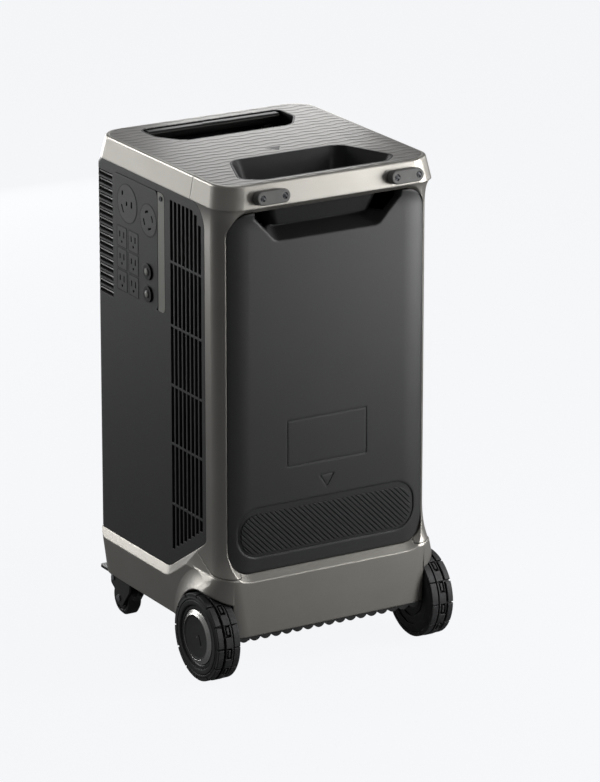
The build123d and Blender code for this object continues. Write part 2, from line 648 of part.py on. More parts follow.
def ribbed_pad():
    """Grip pad in the rear panel's pocket, with ribs at 45 degrees."""
    outline = box_outline(-PAD_HALF_X + SEAM, PAD_HALF_X - SEAM, PAD_BOTTOM + SEAM, PAD_TOP - SEAM,
                          PAD_R - SEAM)
    low, high = PAD_BOTTOM - 5, PAD_TOP - PAD_BOTTOM + 10
    seat = extrude(Pos(0, 0, low) * rear_panel_profile(PAD_DEPTH - SEAM / 2), amount=high)
    sheet = extrude(Pos(0, 0, low) * rear_panel_profile(PAD_DEPTH - PAD_T), amount=high)
    crest = extrude(Pos(0, 0, low) * rear_panel_profile(PAD_DEPTH - PAD_T - RIB_H), amount=high)
    field = prism_y(box_outline(-PAD_HALF_X + 5, PAD_HALF_X - 5, PAD_BOTTOM + 4, PAD_TOP - 9,
                                PAD_R - 6), -200, -130)
    reach = (PAD_TOP - PAD_BOTTOM) / 2
    middle = (PAD_TOP + PAD_BOTTOM) / 2
    count = int((PAD_HALF_X + reach) / RIB_PITCH)
    ribs = [Pos(n * RIB_PITCH, -BODY_REAR + 10, middle) * Rot(0, 45, 0) * Box(4 * reach, 40, RIB_W)
            for n in range(-count, count + 1)]
    ribs = (crest - sheet) & field & Compound(ribs)
    return ((sheet - seat) & prism_y(outline, -200, -130)) + ribs


def front_panel():
    """Front cover between the side panels, with display window, button holes and vents."""
    half = BODY_HALF_X - FRONT_CORNER_R - 1 - SEAM
    panel = cover_body(0) - cover_body(SKIN)
    panel &= block(-half, half, 0, 250, PANEL_BOTTOM, BAND_BOTTOM - PANEL_TOP_GAP)
    panel -= prism_y(box_outline(-DISPLAY_HALF_X, DISPLAY_HALF_X, DISPLAY_BOTTOM, DISPLAY_TOP,
                                 DISPLAY_R), BODY_FRONT - 10, BODY_FRONT + 10)
    panel -= prism_y(box_outline(-PORTS_HALF_X, PORTS_HALF_X, PORTS_BOTTOM, PORTS_TOP, 8),
                     BODY_FRONT - 10, BODY_FRONT + 10)
    for name, x in BUTTON_X.items():
        panel -= rod_y(BUTTON_R[name] + FIT, BODY_FRONT - 10, BODY_FRONT + 10, x, BUTTON_Z)
    for row in range(FRONT_VENT_COUNT):
        z = FRONT_VENT_BOTTOM + FRONT_VENT_PITCH * row
        panel -= prism_y(box_outline(-FRONT_VENT_HALF_X, FRONT_VENT_HALF_X, z,
                                     z + FRONT_VENT_SLOT, FRONT_VENT_SLOT / 2 - 0.1),
                         BODY_FRONT - 10, BODY_FRONT + 10)
    return panel


def vent_screens():
    """Dust screens glued behind the side vents and the corner louvres."""
    inner = BODY_HALF_X - SKIN
    sheet = 1.2
    low = panel_edge_z(VENT_FIRST_Y) + 10
    flat = block(inner - sheet, inner, VENT_FIRST_Y - VENT_PITCH * VENT_COLUMNS,
                 VENT_FIRST_Y + VENT_PITCH, low, VENT_TOP + 5)
    flat &= prism_x(side_outline(-6), 0, 250)
    wrap = cover_body(SKIN + SEAM) - cover_body(SKIN + SEAM + sheet)
    wrap &= block(BODY_HALF_X - FRONT_CORNER_R - 1, 250, LOUVRE_REAR_Y - 4, 250,
                  LOUVRE_LOW_Z - 4, LOUVRE_LOW_Z + LOUVRE_PITCH * LOUVRE_COUNT)
    return [flat, wrap, mirror_x(flat), mirror_x(wrap)]


# ================================================================ top recess liners
def grip_liner():
    """Smooth liner of the finger recess beside the rear edge."""
    liner = grip_shape(0, GRIP_DEPTH + LINER_T, HEIGHT)
    liner -= grip_shape(-LINER_T, GRIP_DEPTH, HEIGHT + 0.001)
    return liner


def handle_liner():
    """Deep liner that holds the folded trolley handle."""
    outline = rounded_outline(HANDLE_PTS)
    depth = HANDLE_RECESS_DEPTH + LINER_T
    liner = extrude(Pos(0, 0, HEIGHT - depth) * outline, amount=depth)
    liner -= extrude(Pos(0, 0, HEIGHT - HANDLE_RECESS_DEPTH) * offset(outline, -LINER_T),
                     amount=HANDLE_RECESS_DEPTH)
    for x in (-TUBE_X, TUBE_X):
        width, length = stage_size(1)
        hole = box_outline(x - width / 2 - FIT, x + width / 2 + FIT, TUBE_Y - length / 2 - FIT,
                           TUBE_Y + length / 2 + FIT, TUBE_CORNER_R)
        liner -= extrude(Pos(0, 0, HEIGHT - depth - 1) * hole, amount=10)
    return liner


# ================================================================ trolley handle
def stage_size(stage):
    """Outer width and depth of a tube stage: 0 is fixed, 1 slides in 0 and 2 slides in 1."""
    shrink = (0, 2 * (OUTER_WALL + FIT), 2 * (OUTER_WALL + FIT + MIDDLE_WALL + FIT))[stage]
    return OUTER_TUBE[0] - shrink, OUTER_TUBE[1] - shrink


def stage_tubes(stage, wall, z0, z1):
    """Pair of rounded rectangular tubes."""
    width, length = stage_size(stage)
    tubes = []
    for x in (-TUBE_X, TUBE_X):
        outer = box_outline(x - width / 2, x + width / 2, TUBE_Y - length / 2,
                            TUBE_Y + length / 2, min(TUBE_CORNER_R, length / 3))
        tubes.append(extrude(Pos(0, 0, z0) * (outer - offset(outer, -wall)), amount=z1 - z0))
    return tubes


def handle_outer_tubes():
    """Fixed tubes that stand on the floor tray and end under the recess liner."""
    return stage_tubes(0, OUTER_WALL, TRAY_TOP, HEIGHT - HANDLE_RECESS_DEPTH - LINER_T - SEAM)


def handle_middle_tubes():
    """Sliding middle stage."""
    return stage_tubes(1, MIDDLE_WALL, MIDDLE_BOTTOM, MIDDLE_BOTTOM + MIDDLE_LENGTH)


def handle_inner_tubes():
    """Upper stage that carries the grip."""
    return stage_tubes(2, INNER_WALL, INNER_BOTTOM, HEIGHT - GRIP_TOP_GAP - GRIP_H)


def handle_grip():
    """Cross bar of the trolley handle with a seat for the release button."""
    top = HEIGHT - GRIP_TOP_GAP
    bar = block(-GRIP_HALF_X, GRIP_HALF_X, TUBE_Y - GRIP_T / 2, TUBE_Y + GRIP_T / 2,
                top - GRIP_H, top)
    bar = fillet(bar.edges().filter_by(Axis.X), 3.5)
    bar = fillet(bar.edges().filter_by(Axis.Z), 1.0)
    seat = box_outline(-RELEASE_W / 2 - FIT, RELEASE_W / 2 + FIT, TUBE_Y - RELEASE_D / 2 - FIT,
                       TUBE_Y + RELEASE_D / 2 + FIT, RELEASE_D / 2)
    return bar - extrude(Pos(0, 0, top - RELEASE_H - RELEASE_TRAVEL) * seat, amount=20)


def release_button():
    """Button in the grip that frees the tube locks."""
    top = HEIGHT - GRIP_TOP_GAP
    outline = box_outline(-RELEASE_W / 2, RELEASE_W / 2, TUBE_Y - RELEASE_D / 2,
                          TUBE_Y + RELEASE_D / 2, RELEASE_D / 2 - 0.2)
    return extrude(Pos(0, 0, top - RELEASE_H + FIT) * outline, amount=RELEASE_H)


# ================================================================ bumper pads
def band_face(x):
    """Plane on the sloping rear face of the band: local X along X, normal outwards."""
    run = BAND_LOW_HALF_Y - BAND_TOP_HALF_Y
    rise = HEIGHT - BAND_BOTTOM
    y = -BAND_LOW_HALF_Y + run * (BUMPER_Z - BAND_BOTTOM) / rise
    size = hypot(run, rise)
    return Plane(origin=(x, y, BUMPER_Z), x_dir=(1, 0, 0), z_dir=(0, -rise / size, run / size))


def screw_places():
    """Planes at the four screws of the two bumper pads."""
    return [band_face(x + end * SCREW_SPACING / 2) for x in BUMPER_X for end in (-1, 1)]


def bumper_pads():
    """Rubber pads that protect the band when the station lies on its back."""
    pads = []
    for x in BUMPER_X:
        pad = extrude(band_face(x) * SlotOverall(BUMPER_LENGTH, BUMPER_H), amount=BUMPER_T)
        pad = fillet(pad.faces().sort_by(Axis.Y)[0].edges(), 1.6)
        pads.append(pad)
    recess = SCREW_HEAD_R + FIT
    cuts = []
    for place in screw_places():
        cuts.append(extrude(place.offset(BUMPER_T - SCREW_HEAD_H - 1.2) * Circle(recess), amount=9))
        cuts.append(extrude(place.offset(-1) * Circle(SCREW_SHANK_R + FIT), amount=BUMPER_T))
    return [pad.cut(*cuts) for pad in pads]


def bumper_screws():
    """Socket head screws of the bumper pads."""
    screws = []
    for place in screw_places():
        seat = BUMPER_T - SCREW_HEAD_H - 1.2
        head = extrude(place.offset(seat) * Circle(SCREW_HEAD_R), amount=SCREW_HEAD_H)
        shank = extrude(place.offset(0.1) * Circle(SCREW_SHANK_R), amount=seat - 0.1)
        socket = extrude(place.offset(seat + 1.2) * RegularPolygon(SOCKET_R, 6), amount=9)
        screws.append(head + shank - socket)
    return screws


# ================================================================ outlets on the left side
def outlet_face(y, z):
    """Plane on the outlet plate's outer face, normal towards -X, local Y upwards."""
    return Plane(origin=(-BODY_HALF_X, y, z), x_dir=(0, -1, 0), z_dir=(-1, 0, 0))


def outlet_plate():
    """Plate that holds the receptacles and the breakers."""
    outline = box_outline(OUTLET_REAR_Y + SEAM / 2, OUTLET_FRONT_Y - SEAM, OUTLET_BOTTOM + SEAM,
                          OUTLET_TOP - SEAM, OUTLET_R)
    plate = prism_x(outline, -BODY_HALF_X - 0.6, -BODY_HALF_X - 0.6 + OUTLET_T)
    gap = RECEPTACLE_GAP
    for y, z, radius in (ROUND_OUTLET, LOCK_OUTLET):
        plate -= rod_x(radius + gap, -200, -100, y, z)
    for y in DUPLEX_Y:
        for z in DUPLEX_Z:
            plate -= block(-200, -100, y - DUPLEX_W / 2 - gap, y + DUPLEX_W / 2 + gap,
                           z - DUPLEX_H / 2 - gap, z + DUPLEX_H / 2 + gap)
    for z in BREAKER_Z.values():
        plate -= rod_x(BREAKER_R - 2 + FIT, -200, -100, BREAKER_Y, z)
    return plate


def outlet_strip():
    """Trim strip beside the outlet plate, with its screw hole."""
    low, high = OUTLET_BOTTOM + SEAM, OUTLET_TOP - SEAM
    rear, front = OUTLET_REAR_Y - STRIP_W + SEAM, OUTLET_REAR_Y - SEAM / 2
    outline = rounded_outline(((rear, low, OUTLET_R), (front, low, 1), (front, high, 1),
                               (rear, high, OUTLET_R)))
    strip = prism_x(outline, -BODY_HALF_X - 0.2, -BODY_HALF_X - 0.2 + OUTLET_T)
    return strip - rod_x(SCREW_SHANK_R + FIT, -200, -100, (rear + front) / 2, high - 8)


def strip_screw():
    """Button head screw of the trim strip."""
    y = OUTLET_REAR_Y - STRIP_W / 2
    z = OUTLET_TOP - SEAM - 8
    face = -BODY_HALF_X - 0.2
    screw = rod_x(SCREW_HEAD_R - 0.6, face - 1.4, face, y, z)
    screw += rod_x(SCREW_SHANK_R, face, face + OUTLET_T + 5, y, z)
    return screw - rod_x(SOCKET_R - 0.5, face - 2, face - 0.4, y, z)


def blade_slot(place, u, v, width, height):
    """Pocket for a plug blade in a receptacle face."""
    return extrude(place.offset(-14) * Pos(u, v) * Rectangle(width, height), amount=30)


def round_receptacle():
    """Large round receptacle with three straight slots and one round pin."""
    y, z, radius = ROUND_OUTLET
    body = extrude(outlet_face(y, z).offset(RECEPTACLE_PROUD - RECEPTACLE_T) * Circle(radius),
                   amount=RECEPTACLE_T)
    place = outlet_face(y, z)
    body -= blade_slot(place, -13, 13, 3.8, 6)
    body -= blade_slot(place, -1, 0, 3.8, 6)
    body -= blade_slot(place, 13, 1, 3.8, 9)
    slanted = Pos(-13, -9) * Rot(0, 0, 28) * Rectangle(2.6, 12)
    return body - extrude(place.offset(-14) * slanted, amount=30)


def locking_receptacle():
    """Round receptacle with four curved slots for a twist-lock plug."""
    y, z, radius = LOCK_OUTLET
    place = outlet_face(y, z)
    body = extrude(place.offset(RECEPTACLE_PROUD - RECEPTACLE_T) * Circle(radius), amount=RECEPTACLE_T)
    ring = Circle(13.6) - Circle(10.8)
    for turn in range(4):
        wedge = Rot(0, 0, 90 * turn + 20) * Pos(12, 0) * Rectangle(10, 9)
        body -= extrude(place.offset(-14) * (ring & wedge), amount=30)
    return body


def duplex_receptacles():
    """Six household receptacles, two columns of three."""
    receptacles = []
    for y in DUPLEX_Y:
        for z in DUPLEX_Z:
            place = outlet_face(y, z)
            body = extrude(place.offset(RECEPTACLE_PROUD - RECEPTACLE_T) * Rectangle(DUPLEX_W, DUPLEX_H),
                           amount=RECEPTACLE_T)
            body -= blade_slot(place, -5.5, 3, 2.6, 8)
            body -= blade_slot(place, 5.5, 3, 2.6, 9)
            body -= extrude(place.offset(-14) * Pos(0, -7) * Circle(1.95), amount=30)
            receptacles.append(body)
    return receptacles


def breaker_collars():
    """Threaded collars of the two resettable breakers."""
    collars = []
    for z in BREAKER_Z.values():
        place = outlet_face(BREAKER_Y, z)
        flange = extrude(place.offset(0.6) * Circle(BREAKER_R), amount=2.4)
        barrel = extrude(place.offset(-18) * Circle(BREAKER_R - 2), amount=18.6)
        bore = extrude(place.offset(-14) * Circle(BREAKER_BUTTON_R + FIT), amount=30)
        collars.append(flange + barrel - bore)
    return collars


def breaker_button(name):
    """Reset button that springs out when its breaker trips."""
    place = outlet_face(BREAKER_Y, BREAKER_Z[name])
    button = extrude(place.offset(-13.7) * Circle(BREAKER_BUTTON_R), amount=17.5)
    return fillet(button.faces().sort_by(Axis.X)[0].edges(), 1.0)


# ================================================================ front controls
def display_lens():
    """Smoked window over the display."""
    outline = box_outline(-DISPLAY_HALF_X + SEAM, DISPLAY_HALF_X - SEAM, DISPLAY_BOTTOM + SEAM,
                          DISPLAY_TOP - SEAM, DISPLAY_R)
    return prism_y(outline, BODY_FRONT - DISPLAY_T, BODY_FRONT)


def display_board():
    """Display and switch board behind the front panel, with a stop post for each button."""
    low = BUTTON_Z - 22
    board = block(-DISPLAY_HALF_X - 6, DISPLAY_HALF_X + 6, BODY_FRONT - 14, BODY_FRONT - 12.4,
                  low, DISPLAY_TOP + 6)
    screen = block(-DISPLAY_HALF_X + 6, DISPLAY_HALF_X - 6, BODY_FRONT - 12.4,
                   BODY_FRONT - DISPLAY_T - SEAM, DISPLAY_BOTTOM + 6, DISPLAY_TOP - 6)
    posts = [block(x - 2, x + 2, BODY_FRONT - 12.4, BODY_FRONT - SKIN, z - 2, z + 2)
             for x in (-DISPLAY_HALF_X - 3, DISPLAY_HALF_X + 3) for z in (low + 3, DISPLAY_TOP + 3)]
    switches = [block(x - 3, x + 3, BODY_FRONT - 12.4, BODY_FRONT - 8.6 - BUTTON_TRAVEL,
                      BUTTON_Z - 3, BUTTON_Z + 3) for x in BUTTON_X.values()]
    for piece in (screen, *posts, *switches):
        board += piece
    return board


def panel_button(name):
    """Push button with a flange that stops behind the front panel."""
    x = BUTTON_X[name]
    radius = BUTTON_R[name]
    cap = rod_y(radius, BODY_FRONT - 5, BODY_FRONT + 1.6, x, BUTTON_Z)
    cap = fillet(cap.faces().sort_by(Axis.Y)[-1].edges(), 0.8)
    flange = rod_y(radius + 1.8, BODY_FRONT - SKIN - 1.6, BODY_FRONT - SKIN - FIT, x, BUTTON_Z)
    stem = rod_y(2.2, BODY_FRONT - 8.6 + FIT, BODY_FRONT - 4, x, BUTTON_Z)
    return cap + flange + stem


def port_block():
    """Moulded block with the direct-current sockets."""
    outline = box_outline(-PORTS_HALF_X + SEAM, PORTS_HALF_X - SEAM, PORTS_BOTTOM + SEAM,
                          PORTS_TOP - SEAM, 8)
    ports = prism_y(outline, BODY_FRONT - PORTS_T, BODY_FRONT + 0.6)
    middle = (PORTS_BOTTOM + PORTS_TOP) / 2
    for x in (-56, -38):
        for z in (middle - 14, middle + 14):
            ports -= prism_y(box_outline(x - 4.6, x + 4.6, z - 1.7, z + 1.7, 1.6),
                             BODY_FRONT - 10, BODY_FRONT + 5)
    for z in (middle - 14, middle + 14):
        ports -= prism_y(box_outline(-21, -7, z - 3.2, z + 3.2, 0.5), BODY_FRONT - 14,
                         BODY_FRONT + 5)
    ports -= rod_y(10.5, BODY_FRONT - 17, BODY_FRONT + 5, 22, middle)
    ports -= prism_y(box_outline(44, 66, middle - 9, middle + 9, 3), BODY_FRONT - 15,
                     BODY_FRONT + 5)
    return ports


# ================================================================ base pieces
def tread_strip():
    """Scalloped rubber strip under the rear edge."""
    rear = -BASE_REAR + 1.5
    strip = block(-STRIP_HALF_X, STRIP_HALF_X, rear, rear + TREAD_STRIP_D, BASE_BOTTOM - 3,
                  BASE_BOTTOM - 0.2)
    first = -SCALLOP_PITCH * (SCALLOP_COUNT - 1) / 2
    for n in range(SCALLOP_COUNT):
        tooth = rod_y(SCALLOP_R, rear, rear + TREAD_STRIP_D, first + SCALLOP_PITCH * n,
                      BASE_BOTTOM - SCALLOP_DROP + SCALLOP_R)
        strip += tooth & block(-STRIP_HALF_X, STRIP_HALF_X, rear, rear + TREAD_STRIP_D, 0,
                               BASE_BOTTOM - 2)
    return strip


def base_inside(low, high):
    """Room inside the base skirt, less a seam."""
    return extrude(plan(BODY_HALF_X - 1 - SEAM, BASE_REAR - WALL - SEAM,
                        BODY_FRONT - WALL - SEAM, 30 - SEAM, 30 - SEAM, low), amount=high - low)


def arch_liners():
    """Black wheel arch liners with a hole for each axle."""
    inner_x = ARCH_IN_X - LINER_WALL
    arch_r = WHEEL_R + ARCH_GAP
    tube = rod_x(arch_r + LINER_WALL, inner_x, BODY_HALF_X, WHEEL_Y, WHEEL_R)
    tube -= rod_x(arch_r, ARCH_IN_X, 250, WHEEL_Y, WHEEL_R)
    tube -= rod_x(AXLE_R + FIT, 0, 250, WHEEL_Y, WHEEL_R)
    tube &= base_inside(BASE_BOTTOM + 1, BASE_TOP - SHELF)
    return [tube, mirror_x(tube)]


def chassis_tray():
    """Floor plate inside the base, with the axle blocks and a sill under the tread strip."""
    low = TRAY_TOP - TRAY_T
    tray = base_inside(low, TRAY_TOP)
    notch_y = WHEEL_Y + WHEEL_R + ARCH_GAP + LINER_WALL + 2
    edge = ARCH_IN_X - LINER_WALL - SEAM
    for side in (LEFT, RIGHT):
        tray -= block(side * edge, side * 250, -250, notch_y, 0, 200)
        tray += block(side * (AXLE_IN_X - 2), side * edge, WHEEL_Y - 17, WHEEL_Y + 17,
                      WHEEL_R - 13, low)
        tray -= rod_x(AXLE_R, side * (AXLE_IN_X - 10), side * 250, WHEEL_Y, WHEEL_R)
    sill = base_inside(BASE_BOTTOM, low) & block(-STRIP_HALF_X, STRIP_HALF_X, -250,
                                                 -BASE_REAR + WALL + 16, 0, low)
    return tray + sill


# ================================================================ large wheels
def wheel_profile(points, y, z):
    """Solid turned about a wheel's axis, from (distance from the centre plane, radius) points."""
    outline = Polygon(*points, align=None)
    turned = revolve(Plane.XY * outline, Axis.X)
    return Pos(0, y, z) * turned


def tyre(side):
    """Tyre with a grooved shoulder and a crown of pocketed tread blocks."""
    shoulder = 5.0
    groove_x = TYRE_OUT_X - 11
    body = wheel_profile(((TYRE_IN_X, RIM_R), (TYRE_OUT_X - 2, RIM_R), (TYRE_OUT_X, RIM_R + 2),
                          (TYRE_OUT_X, WHEEL_R - shoulder - 1), (TYRE_OUT_X - shoulder, WHEEL_R - 1),
                          (groove_x + 3, WHEEL_R - 1), (groove_x + 2, WHEEL_R - TREAD_DEPTH),
                          (groove_x - 1, WHEEL_R - TREAD_DEPTH), (groove_x - 2, WHEEL_R),
                          (TYRE_IN_X + shoulder, WHEEL_R), (TYRE_IN_X, WHEEL_R - shoulder)),
                         WHEEL_Y, WHEEL_R)
    depth = TREAD_DEPTH + 2
    cuts = []
    for n in range(TREAD_BLOCKS):
        for half, x, width, run in (
                (0.0, groove_x - 4 - POCKET_W / 2, POCKET_W, POCKET_L),
                (0.5, groove_x - 5, 9, SHOULDER_NOTCH_W),
                (0.25, TYRE_IN_X + 2, 9, SHOULDER_NOTCH_W),
                (0.75, TYRE_OUT_X - 2, 9, SHOULDER_NOTCH_W)):
            spot = Pos(x, 0, WHEEL_R + 2 - depth / 2) * Box(width, run, depth)
            turn = 360 * (n + half) / TREAD_BLOCKS
            cuts.append(Pos(0, WHEEL_Y, WHEEL_R) * Rot(turn, 0, 0) * spot)
    return for_side(side, body.cut(*cuts))


def rim(side):
    """Moulded wheel centre with a ring groove on its inner face."""
    bore = AXLE_R + RUN
    inner = TYRE_IN_X + 2
    body = wheel_profile(((inner, bore), (inner, 30), (inner + 1.5, 30), (inner + 1.5, 33),
                          (inner, 33), (inner, RIM_R - SEAM), (RIM_X, RIM_R - SEAM),
                          (RIM_X, RING_OUT_R + 1.6), (RIM_X - 1.6, RING_OUT_R),
                          (RIM_X - 2, RING_OUT_R), (RIM_X - 2, RING_IN_R), (RIM_X - 4, RING_IN_R),
                          (RIM_X - 4, bore)), WHEEL_Y, WHEEL_R)
    return for_side(side, body)


def trim_ring(side):
    """Bright conical ring let into the outer face of the rim."""
    inner = RING_IN_R + SEAM
    ring = wheel_profile(((RIM_X - 2, inner), (RIM_X - 2, RING_OUT_R - SEAM),
                          (RIM_X, RING_OUT_R - SEAM), (RING_OUT_X - 0.6, inner + 1),
                          (RING_OUT_X, inner + 0.4), (RING_OUT_X, inner)), WHEEL_Y, WHEEL_R)
    return for_side(side, ring)


def hub_cap(side):
    """Dished cap with a short locating slot."""
    radius = RING_IN_R - SEAM / 2
    cap = wheel_profile(((RIM_X - 4, 0), (RIM_X - 4, radius), (RING_OUT_X - 0.6, radius),
                         (RING_OUT_X - 1.4, radius - 3), (RING_OUT_X - 2.0, radius - 14),
                         (RING_OUT_X - 2.2, 0)), WHEEL_Y, WHEEL_R)
    cap -= Pos(RING_OUT_X - 1, WHEEL_Y - 9, WHEEL_R - 2) * Rot(-27, 0, 0) * Box(4, 2.4, 16)
    cap -= rod_x(AXLE_R + 1.5, 0, AXLE_OUT_X + FIT, WHEEL_Y, WHEEL_R)
    return for_side(side, cap)


def wheel_axles():
    """Stub axles fixed in the tray's blocks, with a retaining head."""
    pin = rod_x(AXLE_R, AXLE_IN_X, AXLE_OUT_X - 0.4, WHEEL_Y, WHEEL_R)
    return [pin, mirror_x(pin)]


# ================================================================ casters
def caster_plates():
    """Mounting plates under the tray, with the swivel boss and its pin."""
    plate_top = TRAY_TOP - TRAY_T
    plate = block(CASTER_X - 24, CASTER_X + 20, SWIVEL_Y - 26, SWIVEL_Y + 26,
                  plate_top - CASTER_PLATE_T, plate_top)
    boss = rod_z(SWIVEL_BOSS_R, FORK_TOP + SWIVEL_GAP, plate_top, CASTER_X, SWIVEL_Y)
    pin = rod_z(SWIVEL_PIN_R, FORK_TOP - FORK_T - 1.5, plate_top, CASTER_X, SWIVEL_Y)
    right = plate + boss + pin
    return [right, mirror_x(right)]


def caster_fork(side):
    """Swivel fork with two cheeks and ears for the brake pedal."""
    y = SWIVEL_Y + TRAIL
    gap = ROLLER_HALF_W + CHEEK_GAP
    pivot_y = y + PEDAL_PIVOT_OUT
    top = rod_z(SWIVEL_BOSS_R + 3, FORK_TOP - FORK_T, FORK_TOP, CASTER_X, SWIVEL_Y)
    top += block(CASTER_X - gap - CHEEK_T, CASTER_X + gap + CHEEK_T, SWIVEL_Y, pivot_y - 8,
                 FORK_TOP - FORK_T, FORK_TOP)
    outline = rounded_outline(((SWIVEL_Y - 14, FORK_TOP, 3), (SWIVEL_Y - 10, 42, 10),
                               (y - 9, 15, 9), (y + 9, 15, 9), (y + 12, 36, 8),
                               (pivot_y + 7, 42, 6), (pivot_y + 6, FORK_TOP - 7, 6),
                               (pivot_y - 8, FORK_TOP, 3)))
    for sign in (-1, 1):
        near = CASTER_X + sign * gap
        top += prism_x(outline, near, near + sign * CHEEK_T)
    top -= rod_z(SWIVEL_PIN_R + RUN, 0, 200, CASTER_X, SWIVEL_Y)
    top -= rod_x(CASTER_AXLE_R, 0, 300, y, ROLLER_R)
    top -= rod_x(PEDAL_PIN_R, 0, 300, pivot_y, PEDAL_PIVOT_Z)
    return for_side(side, top)


def caster_roller(side):
    """Caster wheel with a rounded tread and a bore."""
    y = SWIVEL_Y + TRAIL
    half = ROLLER_HALF_W
    x = CASTER_X
    bore = CASTER_AXLE_R + RUN
    roller = wheel_profile(((x - half, bore), (x + half, bore),
                            (x + half, 15), (x + half - 1.6, 15), (x + half - 1.6, 18.5),
                            (x + half, 18.5), (x + half, ROLLER_R - 3.5),
                            (x + half - 3.5, ROLLER_R), (x - half + 3.5, ROLLER_R),
                            (x - half, ROLLER_R - 3.5), (x - half, 18.5), (x - half + 1.6, 18.5),
                            (x - half + 1.6, 15), (x - half, 15)), y, ROLLER_R)
    return for_side(side, roller)


def caster_pins(side):
    """Riveted axle of the caster wheel and the pedal's pivot rivet."""
    y = SWIVEL_Y + TRAIL
    reach = ROLLER_HALF_W + CHEEK_GAP + CHEEK_T
    pins = []
    for radius, py, pz in ((CASTER_AXLE_R, y, ROLLER_R),
                           (PEDAL_PIN_R, y + PEDAL_PIVOT_OUT, PEDAL_PIVOT_Z)):
        pin = rod_x(radius, CASTER_X - reach, CASTER_X + reach, py, pz)
        for sign in (-1, 1):
            start = CASTER_X + sign * reach
            pin += rod_x(radius + 1.8, start, start + sign * 1.6, py, pz)
        pins.append(pin)
    return [for_side(side, pin) for pin in pins]


def brake_pedal(side):
    """Foot pedal that presses a brake shoe on the caster wheel."""
    pivot_y = SWIVEL_Y + TRAIL + PEDAL_PIVOT_OUT
    half = ROLLER_HALF_W + CHEEK_GAP - FIT
    barrel = rod_x(PEDAL_BARREL_R, CASTER_X - half, CASTER_X + half, pivot_y, PEDAL_PIVOT_Z)
    arm = prism_x(rounded_outline(((pivot_y - 2, PEDAL_PIVOT_Z - 4, 0),
                                   (pivot_y + 14, PEDAL_PIVOT_Z + 2, 2),
                                   (PEDAL_TIP_Y - 16, PEDAL_PIVOT_Z + 5, 0),
                                   (PEDAL_TIP_Y - 16, PEDAL_PIVOT_Z + 5 + PEDAL_T, 0),
                                   (pivot_y - 2, PEDAL_PIVOT_Z + 4, 0))),
                  CASTER_X - half, CASTER_X + half)
    tread = Pos(CASTER_X, 0, PEDAL_PIVOT_Z + 5) * box_outline(
        -PEDAL_HALF_W, PEDAL_HALF_W, pivot_y + 12, PEDAL_TIP_Y, 5)
    pedal = barrel + arm + extrude(tread, amount=PEDAL_T)
    pedal -= rod_x(PEDAL_PIN_R + RUN, 0, 300, pivot_y, PEDAL_PIVOT_Z)
    return for_side(side, pedal)


# ================================================================ inner pieces
def battery_modules():
    """Stacked battery modules standing on the tray."""
    modules = []
    for n in range(BATTERY_COUNT):
        low = TRAY_TOP + n * BATTERY_H
        module = block(-BATTERY_HALF_X, BATTERY_HALF_X, BATTERY_REAR_Y, BATTERY_FRONT_Y, low,
                       low + BATTERY_H - 0.2)
        modules.append(fillet(module.edges().filter_by(Axis.Z), 6))
    return modules


def inverter_base_z():
    """Height of the inverter's underside."""
    return TRAY_TOP + BATTERY_COUNT * BATTERY_H


def inverter_module():
    """Inverter block with cooling fins on its top, above the battery."""
    low = inverter_base_z()
    core = block(-BATTERY_HALF_X, BATTERY_HALF_X, BATTERY_REAR_Y, BATTERY_FRONT_Y, low,
                 low + INVERTER_H)
    channels = [block(-BATTERY_HALF_X - 1, BATTERY_HALF_X + 1, y, y + 6, low + INVERTER_H - 24,
                      low + INVERTER_H + 1)
                for y in range(int(BATTERY_REAR_Y) + 10, int(BATTERY_FRONT_Y) - 12, 14)]
    return core.cut(*channels)


def fan_centre():
    """Height of the fan axes."""
    return inverter_base_z() + FAN_SIZE / 2 + 4


def fan_frames():
    """Square fan frames on both sides of the inverter, with struts and a bearing pin."""
    z = fan_centre()
    near = BATTERY_HALF_X + SEAM
    frame = block(near, near + FAN_T, FAN_Y - FAN_SIZE / 2, FAN_Y + FAN_SIZE / 2,
                  z - FAN_SIZE / 2, z + FAN_SIZE / 2)
    frame -= rod_x(FAN_BORE_R, near - 1, near + FAN_T + 1, FAN_Y, z)
    for angle in (0, 90):
        strut = Pos(near + 2, FAN_Y, z) * Rot(angle, 0, 0) * Box(4, 2 * FAN_BORE_R + 2, 5)
        frame += strut
    frame += rod_x(FAN_HUB_R, near, near + 4, FAN_Y, z)
    frame += rod_x(FAN_PIN_R, near, near + FAN_T - 4, FAN_Y, z)
    return [frame, mirror_x(frame)]


def fan_rotor(side):
    """Fan rotor: a hub that turns on the frame's pin, with pitched blades."""
    z = fan_centre()
    start = BATTERY_HALF_X + SEAM + 4 + 0.6
    end = BATTERY_HALF_X + SEAM + FAN_T - 2
    middle = (start + end) / 2
    hub = rod_x(FAN_HUB_R, start, end, FAN_Y, z)
    for n in range(FAN_BLADES):
        blade = Pos(0, (FAN_HUB_R + FAN_BORE_R) / 2 - 2, 0) * Rot(0, 35, 0) * Box(
            2, FAN_BORE_R - FAN_HUB_R, 20)
        hub += Pos(middle, FAN_Y, z) * Rot(360 * n / FAN_BLADES, 0, 0) * blade
    hub &= rod_x(FAN_BORE_R - 1.5, start, end, FAN_Y, z)
    hub -= rod_x(FAN_PIN_R + RUN, 0, 300, FAN_Y, z)
    return for_side(side, hub)


